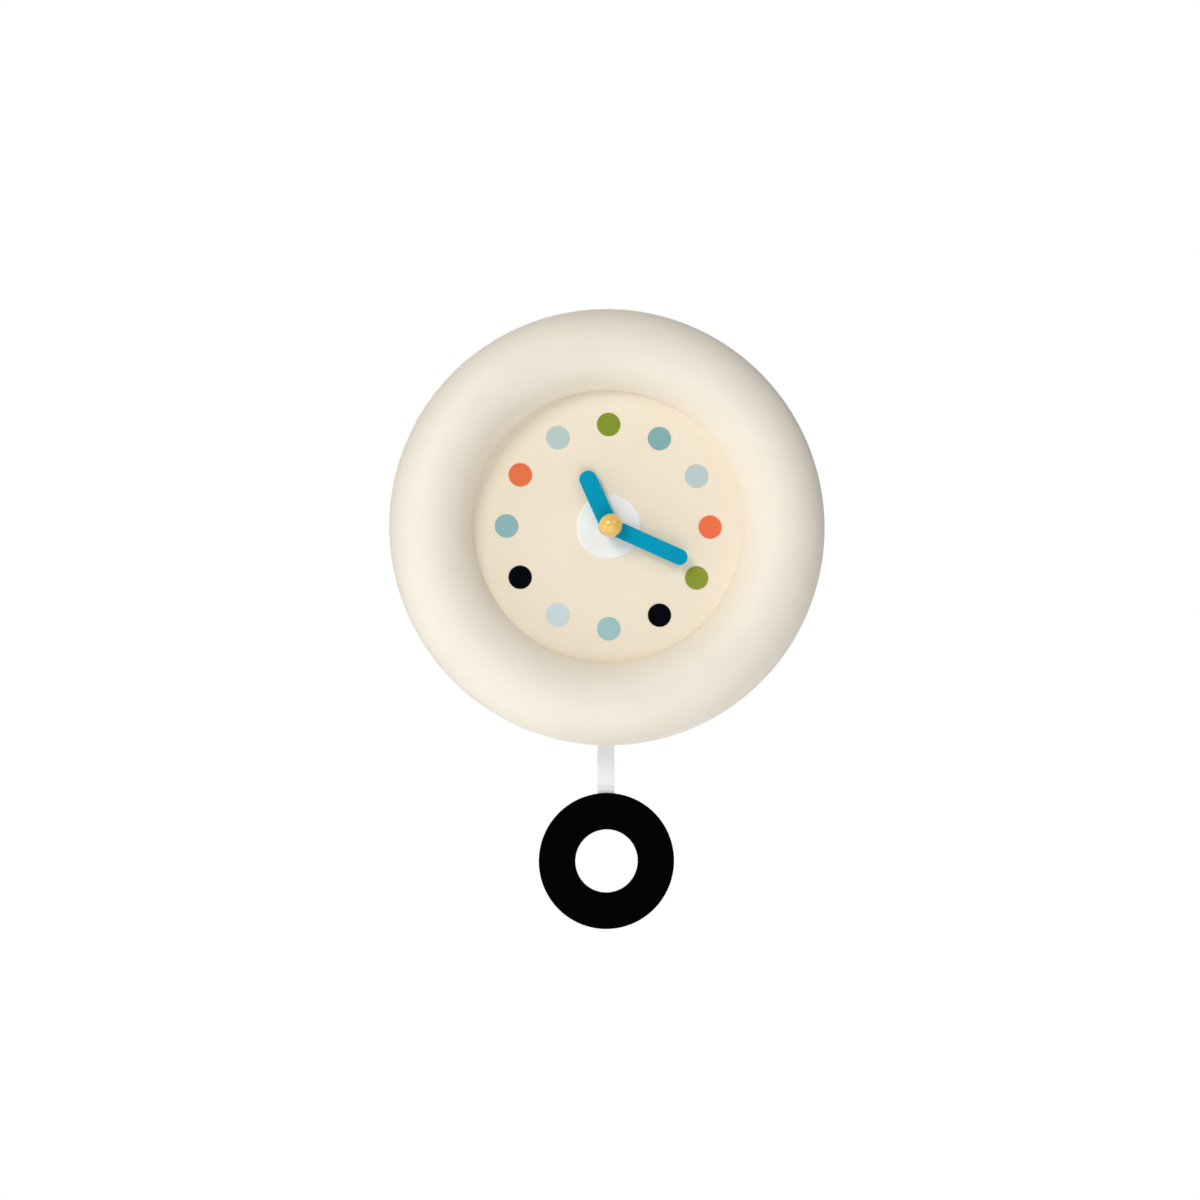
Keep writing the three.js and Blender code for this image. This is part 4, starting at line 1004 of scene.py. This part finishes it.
stand_in(hub_cap, "minute_hand_set", "hub_cap")


# Movement housing. The black moulded box of a battery movement: a front plate against the dial
# and a housing behind it, with bays for the wheels, the battery and the pendulum drive. Its back
# has two shallow panels, a ring round the knob, and a plus and a minus by the battery.

HOUSING_EDGE = 0.35
GROOVE_DEPTH = 0.25  # ring round the knob, and the plus and minus beside the battery
PANEL_DEPTH = 0.3
PANEL_MARGIN = 4
PANEL_CORNER = 1.5
KNOB_ROOM = 9  # free space to each side of the knob's middle
KNOB_RING = (6.2, 6.8)  # inner and outer radius
MARK_RAISE = 3.2  # the marks' middle above the cell
MARK_ASIDE = 2.6  # the marks' middle in from the cell's ends
MARK_REACH = 1.6  # half a stroke's length
MARK_HALF = 0.35  # half a stroke's width
MARK_CORNER = 0.2
movement_black = moulded(
    "movement_black", linear(30, 30, 31), linear(21, 21, 22), 0.5, grain=0.8, depth=0.035
)


def eased_copy(name, node, finish, edge):
    """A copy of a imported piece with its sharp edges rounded."""
    piece = new_piece(name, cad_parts[node].data.copy())
    piece.data.materials.clear()
    piece.data.materials.append(finish)
    work = bmesh.new()
    work.from_mesh(piece.data)
    bmesh.ops.remove_doubles(work, verts=work.verts, dist=0.002 * MM)
    bmesh.ops.dissolve_limit(
        work, angle_limit=math.radians(0.5), verts=work.verts, edges=work.edges
    )
    work.to_mesh(piece.data)
    work.free()
    modifier = piece.modifiers.new("rounded_edges", "BEVEL")
    modifier.width = edge * MM
    modifier.segments = 2
    modifier.limit_method = "ANGLE"
    modifier.angle_limit = math.radians(40)
    return settled(piece)


housing = eased_copy(
    "movement_housing_fine", "movement_rear_housing", movement_black, HOUSING_EDGE
)
cell_left, cell_right, cell_front, cell_back, cell_bottom, cell_top = edges_of("battery")
knob_left, knob_right, _, knob_back, _, _ = edges_of("set_knob")
knob_across, knob_up = middle_of("set_knob")


def sunk(left, right, bottom, top, depth, corner):
    """A cutting plate for a shallow recess with rounded corners in the back of the movement."""
    outline = softened([
        (left, bottom, corner),
        (right, bottom, corner),
        (right, top, corner),
        (left, top, corner),
    ])
    return plate("recess", outline, move_back - depth, move_back + PAST_FACE, None)


def stroke(across, half_width, half_height):
    """A cutting plate for one bar of a plus or a minus."""
    return sunk(
        across - half_width,
        across + half_width,
        mark_up - half_height,
        mark_up + half_height,
        GROOVE_DEPTH,
        MARK_CORNER,
    )


mark_up = cell_top + MARK_RAISE
panel_left = move_left + PANEL_MARGIN
knob_groove = turned(
    "knob_groove",
    [
        (KNOB_RING[0], move_back - GROOVE_DEPTH),
        (KNOB_RING[1], move_back - GROOVE_DEPTH),
        (KNOB_RING[1], move_back + PAST_FACE),
        (KNOB_RING[0], move_back + PAST_FACE),
    ],
    None,
    64,
    (knob_across, 0, knob_up),
)
combined(
    housing,
    "DIFFERENCE",
    knob_groove,
    sunk(
        panel_left,
        knob_across - KNOB_ROOM,
        mark_up + 3.5,
        move_top - PANEL_MARGIN,
        PANEL_DEPTH,
        PANEL_CORNER,
    ),
    sunk(
        panel_left,
        move_right - PANEL_MARGIN,
        move_bottom + PANEL_MARGIN,
        cell_bottom - PANEL_MARGIN,
        PANEL_DEPTH,
        PANEL_CORNER,
    ),
    stroke(cell_left + MARK_ASIDE, MARK_REACH, MARK_HALF),
    stroke(cell_right - MARK_ASIDE, MARK_REACH, MARK_HALF),
    stroke(cell_right - MARK_ASIDE, MARK_HALF, MARK_REACH),
)
# The flat walls are shaded flat, and the roundings between them smooth.
for face in housing.data.polygons:
    face.use_smooth = max(abs(part) for part in face.normal) < 0.9999
stand_in(housing, "case", "movement_rear_housing")


def dress(node, finish):
    """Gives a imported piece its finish."""
    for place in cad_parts[node].material_slots:
        place.material = finish


dress("movement_front_plate", movement_black)


# Setting knob. A small black moulded wheel at the back of the movement, with grip flutes round
# its edge, on a shaft that drives the minute wheel.

FLUTES = 16
FLUTE_DEPTH = 0.5
POINTS = FLUTES * 6
DISH_DEPTH = 0.5
knob_radius = (knob_right - knob_left) / 2
knob_front = move_back + FIT_GAP
knob_outline = []
for i in range(POINTS):
    wave = math.cos(FLUTES * math.tau * i / POINTS)
    radius = knob_radius - FLUTE_DEPTH * (0.5 - 0.5 * wave)
    angle = math.tau * i / POINTS
    across = knob_across + radius * math.cos(angle)
    knob_outline.append((across, knob_up + radius * math.sin(angle)))
knob_black = moulded("knob_black", linear(36, 36, 38), linear(26, 26, 28), 0.42, grain=0.5)
knob_head = plate("knob_head", knob_outline, knob_front, knob_back, knob_black, edge=0.35)
dish = turned(
    "knob_dish",
    [
        (0, knob_back - DISH_DEPTH),
        (2.9, knob_back - DISH_DEPTH),
        (3.3, knob_back + 0.1),
        (0, knob_back + 0.1),
    ],
    None,
    48,
    (knob_across, 0, knob_up),
    closed=False,
)
combined(knob_head, "DIFFERENCE", dish)
set_knob = eased_copy("set_knob_fine", "set_knob", knob_black, 0)
head_room = block(
    knob_across - KNOB_ROOM,
    knob_across + KNOB_ROOM,
    -60,
    knob_front + 0.1,
    knob_up - KNOB_ROOM,
    knob_up + KNOB_ROOM,
)
combined(set_knob, "INTERSECT", head_room)
combined(set_knob, "UNION", knob_head)
stand_in(set_knob, "set_knob_body", "set_knob")


# Wheels. The train and the motion work run on a white bridge plate. Most wheels are moulded in
# natural acetal, the minute arbor is brass, and the rotor carries a dark sintered magnet.

acetal = moulded(
    "natural_acetal",
    linear(236, 234, 226),
    linear(222, 219, 208),
    0.38,
    grain=0.4,
    depth=0.01,
    cloud=5,
    Subsurface_Weight=0.15,
    Subsurface_Scale=0.001,
)
bridge_white = moulded("bridge_white", linear(228, 227, 222), linear(214, 213, 207), 0.5)
dress("train_bridge", bridge_white)
dress("minute_arbor", brass)
for node in (
    "hour_wheel",
    "minute_wheel",
    "intermediate_wheel",
    "seconds_wheel",
    "third_wheel",
    "centre_wheel",
):
    dress(node, acetal)

rotor_material, tree = new_finish("rotor_magnet_and_pinion")
_, _, rotor_front, rotor_back, _, _ = edges_of("rotor")
_, depth, _ = Wire.node(tree, "ShaderNodeTexCoord", out="Object").parts()
is_magnet = depth.below((rotor_front * 0.45 + rotor_back * 0.55) * MM)
speckle = mottle(tree, 0.3, detail=3)
coated(
    tree,
    Base_Color=mixed(
        is_magnet,
        mixed(speckle, linear(222, 219, 208), linear(236, 234, 226)),
        mixed(speckle, linear(52, 52, 54), linear(78, 78, 80)),
    ),
    Roughness=0.4 + speckle * 0.15,
    Normal=bumped(speckle, 0.01),
)
dress("rotor", rotor_material)


# Electric parts. A steel stator, a coil of enamelled copper wire on it, a small green circuit
# board with its chip under black resin, and a quartz crystal in a tinned can.

WIRE_PITCH = 0.16
TRACK_PITCH = 2.2
CHIP_DEPTH = 0.55
stator_steel = metal(
    "stator_steel", linear(176, 177, 180), linear(150, 151, 155), 0.42, 0.25, (0.15, 6, 0.15), 0.01
)
dress("stator", stator_steel)


def wound(name, along_x):
    """Enamelled copper wire in close turns, round the across axis or from front to back, with
    painted shade between the turns and a painted highlight on each.
    """
    material, tree = new_finish(name)
    across, depth, _ = Wire.node(tree, "ShaderNodeTexCoord", out="Object").parts()
    line = (across if along_x else depth) * (math.tau / (WIRE_PITCH * MM))
    turn_relief_and_shade = line.maths("SINE", line)
    wobble = mottle(tree, 1.5, detail=2)
    coated(
        tree,
        # The colour darkens in the grooves between the turns and lightens on their crests, which is
        # painted shade and painted highlight, with random tone mixed in.
        Base_Color=mixed(
            (turn_relief_and_shade * 0.25 + 0.5) * 0.6 + wobble * 0.4, linear(120, 58, 28), linear(196, 116, 66)
        ),
        Roughness=0.3 + wobble * 0.16,
        Normal=bumped(turn_relief_and_shade * 0.5 + wobble * 0.5, 0.03),
        Metallic=0.85,
        Coat_Weight=0.3,
    )
    return material


dress("time_coil", wound("copper_coil_across", True))
dress("pendulum_coil", wound("copper_coil_deep", False))

board_material, tree = new_finish("green_board_and_chip")
board_front = edges_of("circuit_board")[2]
across, depth, up = Wire.node(tree, "ShaderNodeTexCoord", out="Object").parts()
is_chip = depth.below((board_front + CHIP_DEPTH) * MM)
track_line = (across * 0.6 + up) * (math.tau / (TRACK_PITCH * MM))
tracks = track_line.maths("SINE", track_line).above(0.35)
fibre = mottle(tree, 0.6, detail=3)
solder = mottle(tree, 2.6, detail=0).above(0.68)
green = mixed(tracks * 0.7 + fibre * 0.3, linear(24, 84, 52), linear(52, 124, 78))
with_solder = mixed(solder, green, linear(190, 192, 190))
coated(
    tree,
    Base_Color=mixed(is_chip, with_solder, linear(16, 16, 17)),
    Roughness=0.32 + fibre * 0.12 + is_chip * 0.1,
    Normal=bumped(tracks * 0.5 + fibre * 0.2 + solder * 0.5, 0.03),
)
dress("circuit_board", board_material)
tinned = metal("tinned_can", linear(206, 206, 202), linear(180, 180, 176), 0.28)
dress("quartz_crystal", tinned)


# Battery and contacts. One round cell of the common small size in a plain printed sleeve, with
# its steel ends showing, between a flat contact and a bowed leaf of nickel-plated spring steel.

nickel = metal("nickel_spring", linear(206, 203, 194), linear(180, 177, 168), 0.26, 0.4, (1, 1, 6))
dress("contact_positive", nickel)
dress("contact_negative", nickel)

cell_radius = (cell_back - cell_front) / 2
cell_outline = softened([
    (0, cell_left),
    (5.3, cell_left, 0.2),
    (5.5, cell_left + 0.4, 0.15),
    (6.6, cell_left + 0.4, 0.15),
    (cell_radius, cell_left + 0.9, 0.4),
    (cell_radius, cell_right - 1.9, 0.6),
    (5.8, cell_right - 1.5, 0.3),
    (3.2, cell_right - 1.4, 0.2),
    (2.7, cell_right - 1.1, 0.2),
    (2.7, cell_right, 0.4),
    (0, cell_right),
])
cell_material, tree = new_finish("cell_sleeve_and_ends")
across, _, _ = Wire.node(tree, "ShaderNodeTexCoord", out="Object").parts()
sleeve = across.above((cell_left + 1.0) * MM) * across.below((cell_right - 1.9) * MM)
band = across.above((cell_right - 13) * MM)
scuff = mottle(tree, 3, detail=4, stretch=(0.3, 1, 1))
fine = mottle(tree, 0.4, detail=2)
sleeve_colour = mixed(band, linear(58, 62, 68), linear(176, 180, 184))
worn = mixed(scuff * 0.25, sleeve_colour, linear(210, 210, 208))
coated(
    tree,
    Base_Color=mixed(sleeve, mixed(fine, linear(178, 178, 176), linear(206, 206, 204)), worn),
    Roughness=0.3 + scuff * 0.12 + fine * 0.06,
    Metallic=1 - sleeve * 0.75,
    Normal=bumped(scuff * 0.5 + fine * 0.5, 0.008),
)
battery = turned(
    "battery_fine",
    cell_outline,
    cell_material,
    sides=64,
    place=(0, (cell_front + cell_back) / 2, (cell_bottom + cell_top) / 2),
    turn=(0, 0, -math.pi / 2),
    closed=False,
)
stand_in(battery, "battery_body", "battery")


# Pendulum drive. A moulded lever swings on a steel pin and carries a small nickel-plated magnet
# past the drive coil. The rod hangs on the lever's hook.

dress("pendulum_pivot_pin", zinc_plate)
dress("pendulum_lever", acetal)
dress("pendulum_magnet", metal("magnet_nickel", linear(188, 188, 190), linear(160, 160, 164), 0.22))


# Pendulum rod and clip. A flat white moulded bar with a round top that hooks on the lever, and a
# tongue below it whose stud snaps into the rod and carries the bob.

HOOK_HOLE_RADIUS = 1.6
ROD_EDGE = 0.3
STUD_RADIUS = 1.3
STUD_RAISE = 3.4  # above the rod's foot
STUD_OVERLAP = 0.2
rod_white = moulded(
    "rod_white", linear(244, 245, 245), linear(239, 240, 240), 0.45, grain=0.6, depth=0.015
)
rod_half = (rod_right - rod_left) / 2
_, _, clip_front, clip_back, clip_bottom, clip_top = edges_of("bob_clip")
stud_z = rod_bottom + STUD_RAISE
hook_z = rod_top - rod_half + 1.2
rod = plate(
    "pendulum_rod_fine",
    softened([
        *arc(0, rod_top - rod_half, rod_half, 0, math.pi, 24),
        (-rod_half, rod_bottom, 0.6),
        (rod_half, rod_bottom, 0.6),
    ]),
    rod_front,
    rod_back,
    rod_white,
    [
        ring_points(0, hook_z, HOOK_HOLE_RADIUS, 32),
        ring_points(0, stud_z, HOOK_HOLE_RADIUS, 32),
    ],
    ROD_EDGE,
)
stand_in(rod, "pendulum", "pendulum_rod")
clip_plate_back = rod_front - FIT_GAP
clip = plate(
    "bob_clip_fine",
    softened([
        (-rod_half, clip_bottom, 0.8),
        (rod_half, clip_bottom, 0.8),
        (rod_half, clip_top, 0.5),
        (-rod_half, clip_top, 0.5),
    ]),
    clip_front,
    clip_plate_back,
    rod_white,
    edge=ROD_EDGE,
)
stud = turned(
    "clip_stud",
    softened([
        (0, clip_plate_back - STUD_OVERLAP),
        (STUD_RADIUS, clip_plate_back - STUD_OVERLAP),
        (STUD_RADIUS, clip_back, 0.3),
        (0, clip_back),
    ]),
    rod_white,
    32,
    (0, 0, stud_z),
    closed=False,
)
combined(clip, "UNION", stud)
stand_in(clip, "pendulum", "bob_clip")


# Bob. A flat ring moulded in deep black matt plastic with rounded edges, which hangs at the foot
# of the rod.

BOB_HOLE_RADIUS = 18
BOB_EDGE = 0.7
bob_left, bob_right, bob_front, bob_back, _, _ = edges_of("pendulum_bob")
bob_across, bob_up = middle_of("pendulum_bob")
bob_radius = (bob_right - bob_left) / 2
bob_black = moulded(
    "bob_black",
    linear(3, 3, 3),
    linear(3, 3, 3),
    0.5,
    grain=0.6,
    depth=0.012,
    Specular_IOR_Level=0.006,
)
bob = turned(
    "pendulum_bob_fine",
    softened([
        (BOB_HOLE_RADIUS, bob_front, BOB_EDGE),
        (bob_radius, bob_front, BOB_EDGE),
        (bob_radius, bob_back, BOB_EDGE),
        (BOB_HOLE_RADIUS, bob_back, BOB_EDGE),
    ]),
    bob_black,
    sides=160,
    place=(bob_across, 0, bob_up),
)
stand_in(bob, "pendulum", "pendulum_bob")


# Studio. A pale floor well below the clock that fades out at its edge, even white surroundings, a
# broad soft light from the upper left, weaker ones round it, and one behind for the back.

FLOOR_Z = -0.95
FLOOR_RADIUS = 2.3
CAMERA_AZIMUTH = math.radians(-5.5)
CAMERA_ELEVATION = math.radians(-1.8)
CAMERA_DISTANCE = 1.62
AIM_ASIDE = -0.0047
AIM_BELOW = -0.0419
LENS = 85
FILM_WIDTH = 36

floor_mesh = bpy.data.meshes.new("studio_floor")
work = bmesh.new()
bmesh.ops.create_circle(work, cap_ends=True, segments=96, radius=FLOOR_RADIUS)
bmesh.ops.translate(work, verts=work.verts, vec=(0, 0, FLOOR_Z))
work.to_mesh(floor_mesh)
work.free()
floor = new_piece("studio_floor", floor_mesh)
floor_material, tree = new_finish("pale_floor")
across, depth, _ = Wire.node(tree, "ShaderNodeTexCoord", out="Object").parts()
squared = across * across + depth * depth
reach = squared.maths("SQRT", squared)
paper = mottle(tree, 3, detail=3)
coated(
    tree,
    Base_Color=mixed(paper, (0.82, 0.82, 0.81, 1), (0.86, 0.86, 0.85, 1)),
    Roughness=0.85 + paper * 0.05,
    Alpha=Wire.node(tree, "ShaderNodeClamp", (), {"Value": (FLOOR_RADIUS - 0.05 - reach) * 1.1}),
    Emission_Color=(1, 0.99, 0.98, 1),
    Emission_Strength=0.3,
)
floor.data.materials.append(floor_material)

world = bpy.data.worlds.new("studio_white")
bpy.context.scene.world = world
world.use_nodes = True
world.node_tree.nodes.clear()
tree = world.node_tree
seen = Wire.node(tree, "ShaderNodeLightPath", out="Is Camera Ray")
around = Wire.node(tree, "ShaderNodeBackground", (), {
    "Color": (0.995, 0.995, 1, 1),
    "Strength": 0.355,
})
plain = Wire.node(tree, "ShaderNodeBackground", (), {"Color": (1, 1, 1, 1), "Strength": 1.0})
shown = Wire.node(tree, "ShaderNodeMixShader", (), {0: seen, 1: around, 2: plain})
Wire.node(tree, "ShaderNodeOutputWorld", (), {"Surface": shown})


def soft_light(name, place, size, power, colour):
    lamp = bpy.data.lights.new(name, "AREA")
    lamp.shape = "DISK"
    lamp.size = size
    lamp.energy = power
    lamp.color = colour
    stand = bpy.data.objects.new(name, lamp)
    bpy.context.scene.collection.objects.link(stand)
    stand.location = place
    stand.visible_camera = False
    aim = Vector((0, -0.02, case_z * MM)) - stand.location
    stand.rotation_euler = aim.to_track_quat("-Z", "Y").to_euler()


soft_light("broad_light", (-1.3, -1.8, 1.0), 1.0, 22.4, (1, 0.985, 0.95))
soft_light("right_light", (1.3, -1.8, 1.2), 1.0, 5.2, (1, 0.985, 0.94))
soft_light("left_light", (-1.9, -0.7, -0.5), 1.0, 6.4, (0.98, 0.99, 1))
soft_light("low_light", (0, -1.0, -0.6), 0.6, 1.8, (0.94, 0.98, 1))
soft_light("rear_light", (0, 2.6, 0.6), 1.4, 34, (1, 0.985, 0.96))

right = Vector((math.cos(CAMERA_AZIMUTH), math.sin(CAMERA_AZIMUTH), 0))
back = Vector((
    math.sin(CAMERA_AZIMUTH) * math.cos(CAMERA_ELEVATION),
    -math.cos(CAMERA_AZIMUTH) * math.cos(CAMERA_ELEVATION),
    math.sin(CAMERA_ELEVATION),
))
up = back.cross(right)
aim = Vector((0, equator * MM, case_z * MM)) + right * AIM_ASIDE + up * AIM_BELOW
lens = bpy.data.cameras.new("view_of_the_clock")
lens.lens = LENS
lens.sensor_width = FILM_WIDTH
camera = bpy.data.objects.new("view_of_the_clock", lens)
bpy.context.scene.collection.objects.link(camera)
camera.location = aim + back * CAMERA_DISTANCE
camera.rotation_euler = (-back).to_track_quat("-Z", "Y").to_euler()
bpy.context.scene.camera = camera
bpy.context.scene.view_settings.view_transform = "Standard"
